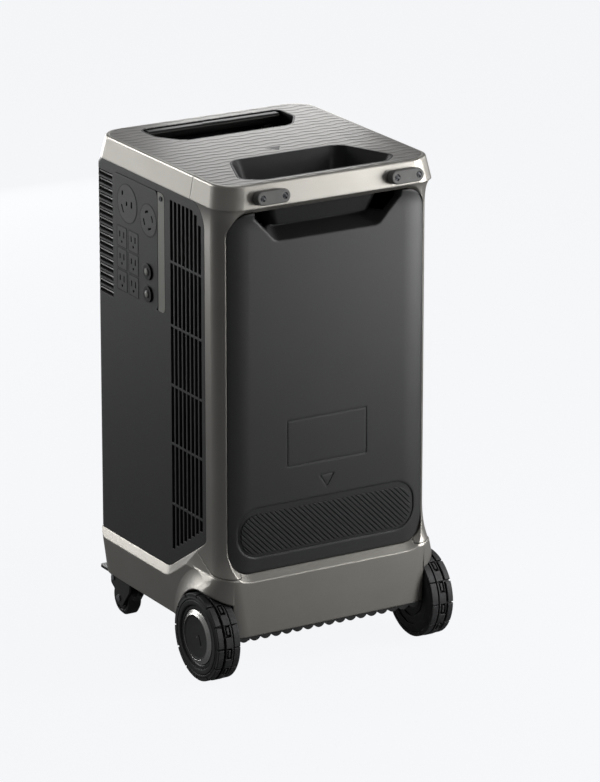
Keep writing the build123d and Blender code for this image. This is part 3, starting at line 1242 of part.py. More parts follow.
# ================================================================ export
NODES = {
    "top_plate": top_plate,
    "top_frame": top_frame,
    "rear_frame": rear_frame,
    "base_shell": base_shell,
    "left_panel": lambda: side_panel(LEFT),
    "right_panel": lambda: side_panel(RIGHT),
    "rear_panel": rear_panel,
    "ribbed_pad": ribbed_pad,
    "front_panel": front_panel,
    "vent_screens": vent_screens,
    "grip_liner": grip_liner,
    "handle_liner": handle_liner,
    "handle_outer_tubes": handle_outer_tubes,
    "handle_middle_tubes": handle_middle_tubes,
    "handle_inner_tubes": handle_inner_tubes,
    "handle_grip": handle_grip,
    "release_button": release_button,
    "bumper_pads": bumper_pads,
    "bumper_screws": bumper_screws,
    "outlet_plate": outlet_plate,
    "outlet_strip": outlet_strip,
    "strip_screw": strip_screw,
    "round_receptacle": round_receptacle,
    "locking_receptacle": locking_receptacle,
    "duplex_receptacles": duplex_receptacles,
    "breaker_collars": breaker_collars,
    "upper_breaker_button": lambda: breaker_button("upper"),
    "lower_breaker_button": lambda: breaker_button("lower"),
    "display_lens": display_lens,
    "display_board": display_board,
    "power_button": lambda: panel_button("power"),
    "ac_button": lambda: panel_button("ac"),
    "dc_button": lambda: panel_button("dc"),
    "port_block": port_block,
    "tread_strip": tread_strip,
    "arch_liners": arch_liners,
    "chassis_tray": chassis_tray,
    "wheel_axles": wheel_axles,
    "caster_plates": caster_plates,
    "battery_modules": battery_modules,
    "inverter_module": inverter_module,
    "fan_frames": fan_frames,
}
PAIRS = {
    "tyre": tyre,
    "rim": rim,
    "trim_ring": trim_ring,
    "hub_cap": hub_cap,
    "caster_fork": caster_fork,
    "caster_roller": caster_roller,
    "caster_pins": caster_pins,
    "brake_pedal": brake_pedal,
    "fan_rotor": fan_rotor,
}


def solids_of(shape):
    """All solids of a piece or of a list of pieces."""
    if isinstance(shape, list):
        return [solid for piece in shape for solid in solids_of(piece)]
    return list(shape.solids())


def write_node(name, shape):
    """Write one node's solids to its STEP file."""
    solids = solids_of(shape)
    export_step(solids[0] if len(solids) == 1 else Compound(children=solids), f"parts/{name}.step")


def main():
    """Build every node and write it out."""
    os.makedirs("parts", exist_ok=True)
    for name, make in NODES.items():
        write_node(name, make())
    for name, make in PAIRS.items():
        for side, word in ((LEFT, "left"), (RIGHT, "right")):
            write_node(f"{word}_{name}", make(side))


main()
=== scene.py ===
import json
import logging
import math
from collections.abc import Mapping, Sequence
from dataclasses import dataclass
from enum import Enum
from typing import Any

import bmesh
import bpy
from mathutils import Matrix, Vector

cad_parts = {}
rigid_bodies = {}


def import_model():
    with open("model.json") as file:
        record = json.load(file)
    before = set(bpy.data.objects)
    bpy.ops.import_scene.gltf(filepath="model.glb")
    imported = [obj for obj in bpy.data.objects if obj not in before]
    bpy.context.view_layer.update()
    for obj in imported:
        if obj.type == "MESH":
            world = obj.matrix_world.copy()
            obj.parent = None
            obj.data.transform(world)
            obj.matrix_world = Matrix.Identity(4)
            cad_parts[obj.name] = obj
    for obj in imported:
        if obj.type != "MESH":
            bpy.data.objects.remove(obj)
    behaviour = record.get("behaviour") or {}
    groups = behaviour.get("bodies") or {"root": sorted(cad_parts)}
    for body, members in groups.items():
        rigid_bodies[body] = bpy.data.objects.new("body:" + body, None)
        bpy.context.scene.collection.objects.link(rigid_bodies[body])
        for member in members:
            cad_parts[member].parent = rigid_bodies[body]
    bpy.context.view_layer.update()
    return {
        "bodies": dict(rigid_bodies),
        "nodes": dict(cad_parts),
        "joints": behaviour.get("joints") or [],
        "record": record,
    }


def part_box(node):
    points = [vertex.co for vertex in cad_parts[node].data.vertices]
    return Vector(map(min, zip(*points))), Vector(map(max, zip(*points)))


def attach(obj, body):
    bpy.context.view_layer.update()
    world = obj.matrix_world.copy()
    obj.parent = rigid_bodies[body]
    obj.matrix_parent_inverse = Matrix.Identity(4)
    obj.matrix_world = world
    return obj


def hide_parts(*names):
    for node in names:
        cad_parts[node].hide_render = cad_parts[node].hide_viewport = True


Tree = bpy.types.NodeTree
Socket = bpy.types.NodeSocket
Mesh = bpy.types.Mesh
Object = bpy.types.Object
Inputs = dict[str, Any]
Point = tuple[float, float, float]
Pair = tuple[float, float]
Outline = Sequence[Pair]

LOG = logging.getLogger("station")
MM = 0.001
# Most of a noise lies within this distance of 0.5.
NOISE_REACH = 0.18
# Near-black blended into seams and hollows as painted shade.
PAINTED_SHADE_BLACK = "050505"


class Side(Enum):
    """Side of the station; the value is the sign of X."""

    LEFT = -1
    RIGHT = 1

    @property
    def prefix(self) -> str:
        """Start of the names of the nodes and bodies on this side."""
        return self.name.lower() + "_"


class Axis(Enum):
    """Direction that a drawn or brushed grain runs along."""

    X = 0
    Y = 1
    Z = 2


# ---- nodes and colours
def linear(colour: str) -> tuple[float, float, float, float]:
    """Turns an sRGB hex value into the linear colour that a socket takes.

    Args:
        colour: Six hex digits, such as "8C8A84".

    Returns:
        Red, green, blue and an alpha of 1.
    """
    parts = [int(colour[n:n + 2], 16) / 255 for n in (0, 2, 4)]
    red, green, blue = (p / 12.92 if p <= 0.04045 else ((p + 0.055) / 1.055) ** 2.4 for p in parts)
    return red, green, blue, 1.0


def add(tree: Tree, kind: str, inputs: Mapping[str | int, Any] | None = None,
        **settings: Any) -> bpy.types.Node:
    """Adds one node with its settings and its inputs.

    Args:
        tree: Node tree that takes the node.
        kind: Type of the node.
        inputs: What each input gets, by name or number: a socket is linked, a value is set.
        settings: Properties of the node.

    Returns:
        The new node.
    """
    node = tree.nodes.new(kind)
    for name, value in settings.items():
        setattr(node, name, value)
    for key, value in (inputs or {}).items():
        if isinstance(value, Socket):
            tree.links.new(value, node.inputs[key])
        else:
            node.inputs[key].default_value = value
    return node


def emptied(owner: Any) -> Tree:
    """Gives a material or a world an empty node tree and returns it."""
    owner.use_nodes = True
    owner.node_tree.nodes.clear()
    return owner.node_tree


def flow(tree: Tree, kind: str, inputs: Mapping[str | int, Any] | None = None,
         **settings: Any) -> Socket:
    """Adds one node, as add does, and returns its first output."""
    return add(tree, kind, inputs, **settings).outputs[0]


def reckon(tree: Tree, operation: str, first: Any, second: Any = 0.0) -> Socket:
    """One sum on two values, named by its operation."""
    return flow(tree, "ShaderNodeMath", {0: first, 1: second}, operation=operation)


def ranged(tree: Tree, value: Socket, low: float, high: float, new_low: float = 0.0,
           new_high: float = 1.0) -> Socket:
    """Moves a value from the range of low to high into a new one, and keeps it inside."""
    return flow(tree, "ShaderNodeMapRange", {
        "Value": value, "From Min": low, "From Max": high, "To Min": new_low, "To Max": new_high})


def blend(tree: Tree, share: Socket, first: Any, second: Any) -> Socket:
    """Mixes two colours; a share of 0 gives the first one."""
    return add(tree, "ShaderNodeMix", {0: share, 6: first, 7: second}, data_type="RGBA").outputs[2]


# ---- finishes
@dataclass(frozen=True)
class Finish:
    """A surface finish, which becomes one material the first time that it is used."""

    name: str
    colour: str
    roughness: float = 0.5
    edge_mm: float = 0.6
    light: str = "FFFFFF"

    def material(self) -> bpy.types.Material:
        """The material of this finish."""
        made = bpy.data.materials.get(self.name)
        if made is None:
            made = bpy.data.materials.new(self.name)
            made.diffuse_color = linear(self.colour)
            tree = emptied(made)
            surface = flow(tree, "ShaderNodeBsdfPrincipled", self.look(tree))
            add(tree, "ShaderNodeOutputMaterial", {"Surface": surface})
        return made

    def look(self, tree: Tree) -> Inputs:
        """Builds the patterns of this finish and returns the shader's inputs."""
        raise NotImplementedError

    def place(self, tree: Tree, centre_mm: Sequence[float] = (0, 0, 0),
              scale: Sequence[float] = (1, 1, 1)) -> Socket:
        """Object coordinates in millimetres about a centre, scaled along each axis."""
        where = add(tree, "ShaderNodeTexCoord").outputs["Object"]
        return flow(tree, "ShaderNodeMapping", {
            "Vector": where, "Location": [-c * s for c, s in zip(centre_mm, scale)],
            "Scale": [s / MM for s in scale]})

    def noise(self, tree: Tree, where: Socket, size_mm: float, detail: float = 2.0) -> Socket:
        """Noise from 0 to 1 at these coordinates, with spots about size_mm across."""
        return flow(tree, "ShaderNodeTexNoise", {
            "Vector": where, "Scale": 1 / size_mm, "Detail": detail, "Roughness": 0.55})

    def between(self, tree: Tree, value: Socket, low: float, high: float) -> Socket:
        """Spreads the middle of a noise over the range of low to high."""
        return ranged(tree, value, 0.5 - NOISE_REACH, 0.5 + NOISE_REACH, low, high)

    def tint(self, tree: Tree, share: Socket) -> Socket:
        """Blends the finish's two colours; a share of 0 gives the first one."""
        return blend(tree, share, linear(self.colour), linear(self.light))

    def painted_hollow_shade(self, tree: Tree, colour: Socket, reach_mm: float) -> Socket:
        """Darkens a colour in seams and hollows up to reach_mm wide, as painted shade where they shut
        out light.
        """
        openness = add(tree, "ShaderNodeAmbientOcclusion", {"Distance": reach_mm * MM},
                       samples=6).outputs["AO"]
        return blend(tree, ranged(tree, openness, 0.35, 0.85), linear(PAINTED_SHADE_BLACK), colour)

    def relief(self, tree: Tree, height: Socket, depth_mm: float) -> Socket:
        """Normals of a relief from 0 to depth_mm deep, over softly rounded edges."""
        edge = flow(tree, "ShaderNodeBevel", {"Radius": self.edge_mm * MM}, samples=4)
        return flow(tree, "ShaderNodeBump", {
            "Height": height, "Distance": depth_mm * MM, "Normal": edge})


@dataclass(frozen=True)
class MetallicPaint(Finish):
    """Satin silver paint with metal flakes, sprayed on castings.

    The flakes give a fine sparkle, and the sprayed coat a slow ripple and a broad, soft gloss.
    """

    light: str = "A09E98"
    metallic: float = 0.8
    flake_mm: float = 1.1
    cloud_mm: float = 60.0
    ripple_mm: float = 7.0

    def look(self, tree: Tree) -> Inputs:
        """The shader's inputs."""
        where = self.place(tree)
        # Real flakes are some 0.03 mm across; drawn at 1.1 mm so that they show.
        flakes = self.noise(tree, where, self.flake_mm, 1.0)
        mixed = reckon(tree, "ADD", flakes, self.noise(tree, where, self.cloud_mm))
        share = ranged(tree, mixed, 0.65, 1.35)
        ripple = self.noise(tree, where, self.ripple_mm, 1.0)
        return {
            "Base Color": self.tint(tree, share), "Metallic": self.metallic,
            "Roughness": self.between(tree, flakes, self.roughness - 0.03, self.roughness + 0.04),
            "Coat Weight": 0.18, "Coat Roughness": 0.28,
            "Normal": self.relief(tree, ripple, 0.02)}


@dataclass(frozen=True)
class MouldedPlastic(Finish):
    """ABS moulded in a tool with an eroded texture.

    The texture is a close grain that breaks up gloss, and handling leaves faint paler patches. Seams
    and hollows are darkened as painted shade.
    """

    light: str = "4A4A4A"
    grain_mm: float = 0.9
    grain_depth_mm: float = 0.05
    cloud_mm: float = 45.0
    specular: float = 0.5
    painted_shade_mm: float = 3.0

    def look(self, tree: Tree) -> Inputs:
        """The shader's inputs."""
        where = self.place(tree)
        # Real grain is about 0.2 mm wide; drawn coarser so that it shows.
        grain = self.noise(tree, where, self.grain_mm)
        cloud = self.noise(tree, where, self.cloud_mm, 3.0)
        tinted = self.tint(tree, self.between(tree, cloud, 0.0, 1.0))
        return {
            # Painted shade: the colour is darker in seams and hollows.
            "Base Color": self.painted_hollow_shade(tree, tinted, self.painted_shade_mm),
            "Roughness": self.between(tree, grain, self.roughness - 0.05, self.roughness + 0.06),
            "Specular IOR Level": self.specular,
            "Normal": self.relief(tree, grain, self.grain_depth_mm)}


@dataclass(frozen=True)
class Rubber(Finish):
    """Moulded rubber, matte, with a little pale dust, and painted shade in the hollows of its skin."""

    light: str = "4B4A48"
    skin_mm: float = 2.2
    dust_mm: float = 14.0
    painted_shade_mm: float = 4.0

    def look(self, tree: Tree) -> Inputs:
        """The shader's inputs."""
        where = self.place(tree)
        skin = self.noise(tree, where, self.skin_mm, 3.0)
        dust = self.noise(tree, where, self.dust_mm, 4.0)
        tinted = self.tint(tree, self.between(tree, dust, 0.0, 0.8))
        return {
            # Painted shade: the colour is darker in hollows between blocks and in the skin.
            "Base Color": self.painted_hollow_shade(tree, tinted, self.painted_shade_mm),
            "Roughness": self.between(tree, skin, self.roughness - 0.08, self.roughness + 0.08),
            "Specular IOR Level": 0.4,
            "Normal": self.relief(tree, skin, 0.12)}


@dataclass(frozen=True)
class TurnedAluminium(Finish):
    """Aluminium turned on a lathe: fine rings round the wheel's axis catch the light."""

    light: str = "E4E3DF"
    centre_mm: Point = (0.0, -135.5, 62.0)
    groove_mm: float = 0.8

    def look(self, tree: Tree) -> Inputs:
        """The shader's inputs."""
        where = self.place(tree, self.centre_mm, (0, 1, 1))
        away = add(tree, "ShaderNodeVectorMath", {0: where}, operation="LENGTH").outputs["Value"]
        # Real tool marks are 0.1 mm apart; drawn at 0.8 mm so that they show.
        marks = flow(tree, "ShaderNodeTexNoise", {
            "W": away, "Scale": 1 / self.groove_mm, "Detail": 2.0}, noise_dimensions="1D")
        return {
            "Base Color": self.tint(tree, marks), "Metallic": 1.0,
            "Roughness": self.between(tree, marks, self.roughness - 0.06, self.roughness + 0.08),
            "Anisotropic": 0.5,
            "Normal": self.relief(tree, marks, 0.02)}


@dataclass(frozen=True)
class DrawnMetal(Finish):
    """Drawn or rolled metal with streaks along its length."""

    along: Axis = Axis.Z
    light: str = "B4B4B2"
    streak_mm: float = 0.9
    stretch: float = 50.0

    def look(self, tree: Tree) -> Inputs:
        """The shader's inputs."""
        scale = [1 / self.stretch if axis is self.along else 1.0 for axis in Axis]
        streaks = self.noise(tree, self.place(tree, scale=scale), self.streak_mm, 3.0)
        return {
            "Base Color": self.tint(tree, streaks), "Metallic": 1.0,
            "Roughness": self.between(tree, streaks, self.roughness - 0.06, self.roughness + 0.08),
            "Anisotropic": 0.3,
            "Normal": self.relief(tree, streaks, 0.02)}


@dataclass(frozen=True)
class PowderCoat(Finish):
    """Black powder coat baked on steel: a low orange-peel ripple with a satin sheen."""

    light: str = "262626"
    peel_mm: float = 1.6
    cloud_mm: float = 12.0

    def look(self, tree: Tree) -> Inputs:
        """The shader's inputs."""
        where = self.place(tree)
        peel = self.noise(tree, where, self.peel_mm)
        cloud = self.noise(tree, where, self.cloud_mm)
        return {
            "Base Color": self.tint(tree, cloud),
            "Roughness": self.between(tree, peel, self.roughness - 0.05, self.roughness + 0.05),
            "Coat Weight": 0.3, "Coat Roughness": 0.25,
            "Normal": self.relief(tree, peel, 0.06)}


@dataclass(frozen=True)
class ZincPlate(Finish):
    """Zinc plated steel: spangles a few millimetres across, dull and bright side by side."""

    light: str = "9A9B9D"
    spangle_mm: float = 4.0
    pit_mm: float = 1.2

    def look(self, tree: Tree) -> Inputs:
        """The shader's inputs."""
        where = self.place(tree)
        cells = add(tree, "ShaderNodeTexVoronoi", {"Vector": where, "Scale": 1 / self.spangle_mm})
        tone = flow(tree, "ShaderNodeSeparateColor", {"Color": cells.outputs["Color"]})
        return {
            "Base Color": self.tint(tree, tone), "Metallic": 1.0,
            "Roughness": ranged(tree, tone, 0.0, 1.0, self.roughness, self.roughness + 0.15),
            "Normal": self.relief(tree, self.noise(tree, where, self.pit_mm), 0.03)}


@dataclass(frozen=True)
class TintedAcrylic(Finish):
    """Smoked acrylic with a polished face, dark until a lamp shines behind it."""

    light: str = "3C4044"
    smear_mm: float = 25.0

    def look(self, tree: Tree) -> Inputs:
        """The shader's inputs."""
        smears = self.noise(tree, self.place(tree), self.smear_mm, 4.0)
        return {
            "Base Color": self.tint(tree, smears),
            "Roughness": self.between(tree, smears, self.roughness - 0.02, self.roughness + 0.04),
            "IOR": 1.49, "Transmission Weight": 0.85,
            "Normal": self.relief(tree, smears, 0.01)}


@dataclass(frozen=True)
class SolderMask(Finish):
    """Glass-fibre circuit board under solder mask, with copper runs showing paler."""

    light: str = "1F5A38"
    gap: str = "2E7048"
    run_mm: float = 9.0

    def look(self, tree: Tree) -> Inputs:
        """The shader's inputs."""
        where = self.place(tree)
        runs = add(tree, "ShaderNodeTexBrick", {
            "Vector": where, "Scale": 1 / self.run_mm, "Color1": linear(self.colour),
            "Color2": linear(self.light), "Mortar": linear(self.gap), "Mortar Size": 0.04})
        return {
            "Base Color": runs.outputs["Color"],
            "Roughness": self.between(tree, self.noise(tree, where, 3.0), 0.3, 0.42),
            "Normal": self.relief(tree, runs.outputs["Fac"], 0.04)}


@dataclass(frozen=True)
class GlowingDiffuser(Finish):
    """Milky plastic lit from behind by a lamp, a little brighter in the middle of each cell."""

    strength: float = 1.0
    cell_mm: float = 2.0

    def look(self, tree: Tree) -> Inputs:
        """The shader's inputs."""
        cells = self.noise(tree, self.place(tree), self.cell_mm, 1.0)
        tinted = self.tint(tree, cells)
        return {
            "Base Color": tinted, "Roughness": self.roughness,
            "Emission Color": tinted, "Emission Strength": self.strength}


PAINT = MetallicPaint("SatinSilverPaint", "9D9A93", 0.34, 2.4, light="A4A19B")
DECK_PAINT = MetallicPaint("DeckPaint", "82807D", 0.44, 0.8, light="898783", ripple_mm=4.0)
COVER = MouldedPlastic("CharcoalAbs", "202020", 0.42, 5.0, light="222222")
SIDE_COVER = MouldedPlastic("CharcoalAbsSide", "2C2C2C", 0.50, 0.8, light="2E2E2E")
PAD = MouldedPlastic("RibbedAbs", "0F0F0F", 0.48, 0.5, light="121212")
LINER = MouldedPlastic("SmoothLinerAbs", "0C0C0C", 0.42, 1.5, light="0E0E0E",
                       grain_depth_mm=0.02, specular=0.28)
SCREEN = MouldedPlastic("DustScreen", "040404", 0.9, 0.2, light="060606", grain_mm=2.0, specular=0.1)
OUTLET = MouldedPlastic("OutletNylon", "252525", 0.48, 0.3, light="282828")
SOCKET = MouldedPlastic("ReceptacleNylon", "292929", 0.42, 0.5, light="2C2C2C", painted_shade_mm=5.0)
STRIP = MouldedPlastic("TrimStripAbs", "8C8D85", 0.42, 0.5, light="92938B")
BUTTON = MouldedPlastic("ButtonAbs", "2E2E2E", 0.4, 0.5, light="343434", grain_depth_mm=0.02)
RIM = MouldedPlastic("WheelNylon", "2A2A2A", 0.45, 0.8, light="303030")
CASE = MouldedPlastic("InverterCase", "7A7C80", 0.5, 1.0, light="84868A")
FAN = MouldedPlastic("FanPbt", "1C1C1C", 0.4, 0.4, light="222222")
# Pale grey blades: a painted highlight for the light that the louvre ribs catch.
BLADE_HIGHLIGHT = MouldedPlastic("BladeAbs", "7C7C7A", 0.3, 0.3, light="82827F", painted_shade_mm=2.0)
TYRE = Rubber("TyreRubber", "262627", 0.62, 0.8, light="343436")
BUMPER = Rubber("BumperRubber", "60605E", 0.55, 1.2, light="696967", skin_mm=1.2)
# Black rings round the receptacles for the shaded gap between them and the plate: painted shade.
GAP_SHADE_RUBBER = Rubber("GasketRubber", "080808", 0.5, 0.2, light="0E0E0E", skin_mm=1.0)
ROLLER = Rubber("CasterPolyurethane", "1C1C1D", 0.4, 0.6, light="2C2C2E", skin_mm=4.0)
TREAD = Rubber("StepRubber", "1A1A1A", 0.6, 0.5, light="262626")
RING = TurnedAluminium("TurnedRing", "B4B3AF", 0.30, 0.8)
TUBE = DrawnMetal("HandleTube", "8E8E8C", 0.32, 0.4)
GRIP = DrawnMetal("HandleBar", "2C2C2B", 0.38, 2.0, along=Axis.X, light="363635")
CELL_CASE = DrawnMetal("BatteryCase", "6C7076", 0.4, 0.8)
STEEL = PowderCoat("BlackPowderCoat", "161616", 0.4, 0.8)
SCREW = ZincPlate("DarkZincScrew", "3E3F41", 0.36, 0.3, light="5E5F61")
ZINC = ZincPlate("ZincSteel", "77787B", 0.4, 0.4)
WINDOW = TintedAcrylic("SmokedAcrylic", "16181A", 0.05, 0.6)
BOARD = SolderMask("DisplayBoard", "12301F", 0.35, 0.2)
LIGHT = GlowingDiffuser("LampDiffuser", "BFE3FF", 0.4, 0.2, strength=7.0)


def dress(finishes: Mapping[Finish, str], nodes: Mapping[str, Object],
          prefix: str = "") -> None:
    """Gives CAD nodes their finishes.

    Args:
        finishes: Names of the nodes, with spaces between them, by finish.
        nodes: The frame's nodes.
        prefix: Start of each name.
    """
    for finish, names in finishes.items():
        for name in names.split():
            mesh = nodes[prefix + name].data
            mesh.materials.clear()
            mesh.materials.append(finish.material())
            LOG.info("%s%s has the finish %s", prefix, name, finish.name)


# ---- meshes
TO_REAR = Matrix.Rotation(math.radians(-90), 4, "Z")
TO_FRONT = Matrix.Rotation(math.radians(90), 4, "Z")
# Lays a shape drawn in the YZ plane flat, so that it grows upwards.
TO_TOP = Matrix(((0, 1, 0, 0), (0, 0, 1, 0), (1, 0, 0, 0), (0, 0, 0, 1)))


def placed(name: str, data: bpy.types.ID) -> Object:
    """Puts a new object with its data in the scene."""
    made = bpy.data.objects.new(name, data)
    bpy.context.scene.collection.objects.link(made)
    return made


def aimed(name: str, data: bpy.types.ID, at: Point, towards: Point) -> Object:
    """Puts a lamp or a camera in the scene.

    Args:
        name: Name of the object.
        data: The lamp's or the camera's data.
        at: Where it stands.
        towards: Point that it faces.

    Returns:
        The new object.
    """
    made = placed(name, data)
    made.location = at
    made.rotation_euler = (Vector(towards) - Vector(at)).to_track_quat("-Z", "Y").to_euler()
    return made


def meshed(name: str, points: Sequence[Point], faces: Sequence[Sequence[int]] = ()) -> Mesh:
    """Makes a mesh from its points and faces."""
    mesh = bpy.data.meshes.new(name)
    mesh.from_pydata(points, [], faces)
    return mesh


def closed(mesh: Mesh, sharp_deg: float = 35.0) -> Mesh:
    """Turns a mesh's faces outwards and smooths it between its sharp edges.

    Args:
        mesh: Mesh to finish.
        sharp_deg: Edges that bend more than this stay sharp.

    Returns:
        The same mesh.
    """
    work = bmesh.new()
    work.from_mesh(mesh)
    bmesh.ops.remove_doubles(work, verts=work.verts, dist=1e-6)
    bmesh.ops.recalc_face_normals(work, faces=work.faces)
    work.to_mesh(mesh)
    work.free()
    mesh.shade_smooth()
    mesh.set_sharp_from_angle(angle=math.radians(sharp_deg))
    return mesh


def lathed(name: str, profile_mm: Outline, steps: int) -> Mesh:
    """Turns a closed profile round the X axis.

    Args:
        name: Name of the mesh.
        profile_mm: Points as distance along X and radius.
        steps: Number of facets round the axis.

    Returns:
        The closed mesh.
    """
    points = []
    faces = []
    count = len(profile_mm)
    for step in range(steps):
        turn = 2 * math.pi * step / steps
        points += [(x * MM, r * MM * math.cos(turn), r * MM * math.sin(turn))
                   for x, r in profile_mm]
    for step in range(steps):
        here = step * count
        there = (step + 1) % steps * count
        for n in range(count):
            m = (n + 1) % count
            faces.append((here + n, here + m, there + m, there + n))
    return meshed(name, points, faces)


def prism(name: str, outline_mm: Outline, depth_mm: float, bevel_mm: float = 0.0) -> Mesh:
    """Draws an outline in the YZ plane out along X, from 0, with a bevel on its far face.

    Args:
        name: Name of the mesh.
        outline_mm: Corners, anticlockwise seen from +X.
        depth_mm: Length along X.
        bevel_mm: Width of the bevel.

    Returns:
        The closed mesh.
    """
    work = bmesh.new()
    low = [work.verts.new((0, y * MM, z * MM)) for y, z in outline_mm]
    grown = bmesh.ops.extrude_face_region(work, geom=[work.faces.new(low)])
    tops = [v for v in grown["geom"] if isinstance(v, bmesh.types.BMVert)]
    bmesh.ops.translate(work, verts=tops, vec=(depth_mm * MM, 0, 0))
    if bevel_mm:
        rim = [e for e in work.edges if all(v in tops for v in e.verts)]
        bmesh.ops.bevel(work, geom=rim, offset=bevel_mm * MM, segments=2, profile=0.6,
                        affect="EDGES")
    mesh = bpy.data.meshes.new(name)
    work.to_mesh(mesh)
    work.free()
    return mesh


def circle(radius: float, steps: int) -> list[Pair]:
    """Corners of a regular polygon, anticlockwise."""
    turns = [math.radians(360 * n / steps) for n in range(steps)]
    return [(radius * math.cos(t), radius * math.sin(t)) for t in turns]


def oblong(half_y: float, half_z: float, middle: float = 0.0) -> list[Pair]:
    """Corners of a rectangle whose middle is at this height, anticlockwise."""
    low = middle - half_z
    high = middle + half_z
    return [(-half_y, low), (half_y, low), (half_y, high), (-half_y, high)]


def rounded(half_y: float, half_z: float, radius: float) -> list[Pair]:
    """A rectangle with rounded corners.

    Args:
        half_y: Half of its width.
        half_z: Half of its height.
        radius: Radius of the corners.

    Returns:
        Its corners, anticlockwise.
    """
    points = []
    for turn, (y, z) in zip((0, 90, 180, 270), ((1, 1), (-1, 1), (-1, -1), (1, -1))):
        for n in range(5):
            at = math.radians(turn + 22.5 * n)
            points.append((y * (half_y - radius) + radius * math.cos(at),
                           z * (half_z - radius) + radius * math.sin(at)))
    return points


def hoop(name: str, outer_mm: Outline, inner_mm: Outline, depth_mm: float) -> Mesh:
    """A flat ring in the YZ plane between two outlines, from 0 out along X.

    Args:
        name: Name of the mesh.
        outer_mm: Outer corners, anticlockwise seen from +X.
        inner_mm: As many inner ones.
        depth_mm: Thickness of the ring.

    Returns:
        The closed mesh.
    """
    count = len(outer_mm)
    points = [(x * MM, y * MM, z * MM) for x in (0.0, depth_mm) for loop in (outer_mm, inner_mm)
              for y, z in loop]
    faces = []
    for n in range(count):
        m = (n + 1) % count
        for a, b in ((0, count), (count, 3 * count), (3 * count, 2 * count), (2 * count, 0)):
            faces.append((a + n, a + m, b + m, b + n))
    return meshed(name, points, faces)


def merged(name: str, meshes: Sequence[Mesh]) -> Mesh:
    """Joins meshes into a new one.

    Args:
        name: Name of the new mesh.
        meshes: Meshes to join; they are removed.

    Returns:
        The joined mesh.
    """
    work = bmesh.new()
    for mesh in meshes:
        work.from_mesh(mesh)
        bpy.data.meshes.remove(mesh)
    joined = bpy.data.meshes.new(name)
    work.to_mesh(joined)
    work.free()
    return joined


def piece(name: str, mesh: Mesh, finish: Finish, body: str,
          replaces: Sequence[str] = ()) -> Object:
    """Puts a finished mesh in the scene as a piece of the object.

    Args:
        name: Name of the piece.
        mesh: Mesh with its place in its vertices.
        finish: Its finish.
        body: CAD body that it moves with.
        replaces: CAD nodes that it stands for.

    Returns:
        The new object.
    """
    mesh.materials.clear()
    mesh.materials.append(finish.material())
    made = placed(name, mesh)
    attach(made, body)
    if replaces:
        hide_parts(*replaces)
    LOG.info("%s: %d faces, %s, on %s", name, len(mesh.polygons), finish.name, body)
    return made


# ---- geometry node trees
class Grower:
    """A Geometry Nodes tree with named inputs, run once on a seed mesh."""

    name = "Grower"
    inputs: Mapping[str, str] = {}

    def __init__(self) -> None:
        """Builds the tree from its inputs and its rule."""
        self.tree = bpy.data.node_groups.new(self.name, "GeometryNodeTree")
        face = self.tree.interface
        face.new_socket("Geometry", in_out="INPUT", socket_type="NodeSocketGeometry")
        for label, kind in self.inputs.items():
            face.new_socket(label, in_out="INPUT", socket_type="NodeSocket" + kind)
        face.new_socket("Material", in_out="INPUT", socket_type="NodeSocketMaterial")
        face.new_socket("Geometry", in_out="OUTPUT", socket_type="NodeSocketGeometry")
        given = add(self.tree, "NodeGroupInput").outputs
        real = flow(self.tree, "GeometryNodeRealizeInstances", {0: self.rule(given)})
        done = flow(self.tree, "GeometryNodeSetMaterial", {
            "Geometry": real, "Material": given["Material"]})
        add(self.tree, "NodeGroupOutput", {0: done})

    def rule(self, given: Any) -> Socket:
        """Builds the nodes between the tree's inputs and its finish, and returns their geometry."""
        raise NotImplementedError

    def line(self, count: Any, start: Any, step: Any) -> Socket:
        """A row of points, each one step from the last."""
        return flow(self.tree, "GeometryNodeMeshLine", {
            "Count": count, "Start Location": start, "Offset": step}, mode="OFFSET")

    def copies(self, points: Socket, master: Socket, **more: Any) -> Socket:
        """A copy of the master at each point."""
        return flow(self.tree, "GeometryNodeInstanceOnPoints", {
            "Points": points, "Instance": master, **more})

    def grow(self, name: str, seed: Mesh, finish: Finish, **values: Any) -> Mesh:
        """Runs the tree.

        Args:
            name: Name of the new mesh.
            seed: Mesh that the tree starts from.
            finish: Finish of the result.
            values: Inputs by label, with _ for a space.

        Returns:
            The result as a plain mesh.
        """
        values["Material"] = finish.material()
        holder = placed(name + "_seed", seed)
        modifier = holder.modifiers.new("Grow", "NODES")
        modifier.node_group = self.tree
        for item in self.tree.interface.items_tree:
            label = item.name.replace(" ", "_")
            if item.in_out == "INPUT" and label in values:
                modifier[item.identifier] = values[label]
        graph = bpy.context.evaluated_depsgraph_get()
        mesh = bpy.data.meshes.new_from_object(holder.evaluated_get(graph), depsgraph=graph)
        mesh.name = name
        holder.modifiers.remove(modifier)
        bpy.data.objects.remove(holder)
        return mesh


class Around(Grower):
    """Repeats the seed at even turns about an axis through a centre."""

    name = "RepeatAround"
    inputs = {"Count": "Int", "Turn": "Vector", "Centre": "Vector"}

    def rule(self, given: Any) -> Socket:
        """Places one turned copy for each point."""
        tree = self.tree
        spots = flow(tree, "GeometryNodePoints", {
            "Count": given["Count"], "Position": given["Centre"]})
        turn = flow(tree, "ShaderNodeVectorMath", {
            0: given["Turn"], "Scale": flow(tree, "GeometryNodeInputIndex")}, operation="SCALE")
        return self.copies(spots, given["Geometry"], Rotation=turn)


class Row(Grower):
    """Repeats the seed in a straight row."""

    name = "RepeatRow"
    inputs = {"Count": "Int", "Start": "Vector", "Step": "Vector"}

    def rule(self, given: Any) -> Socket:
        """Places one copy for each point of a line."""
        line = self.line(given["Count"], given["Start"], given["Step"])
        return self.copies(line, given["Geometry"])


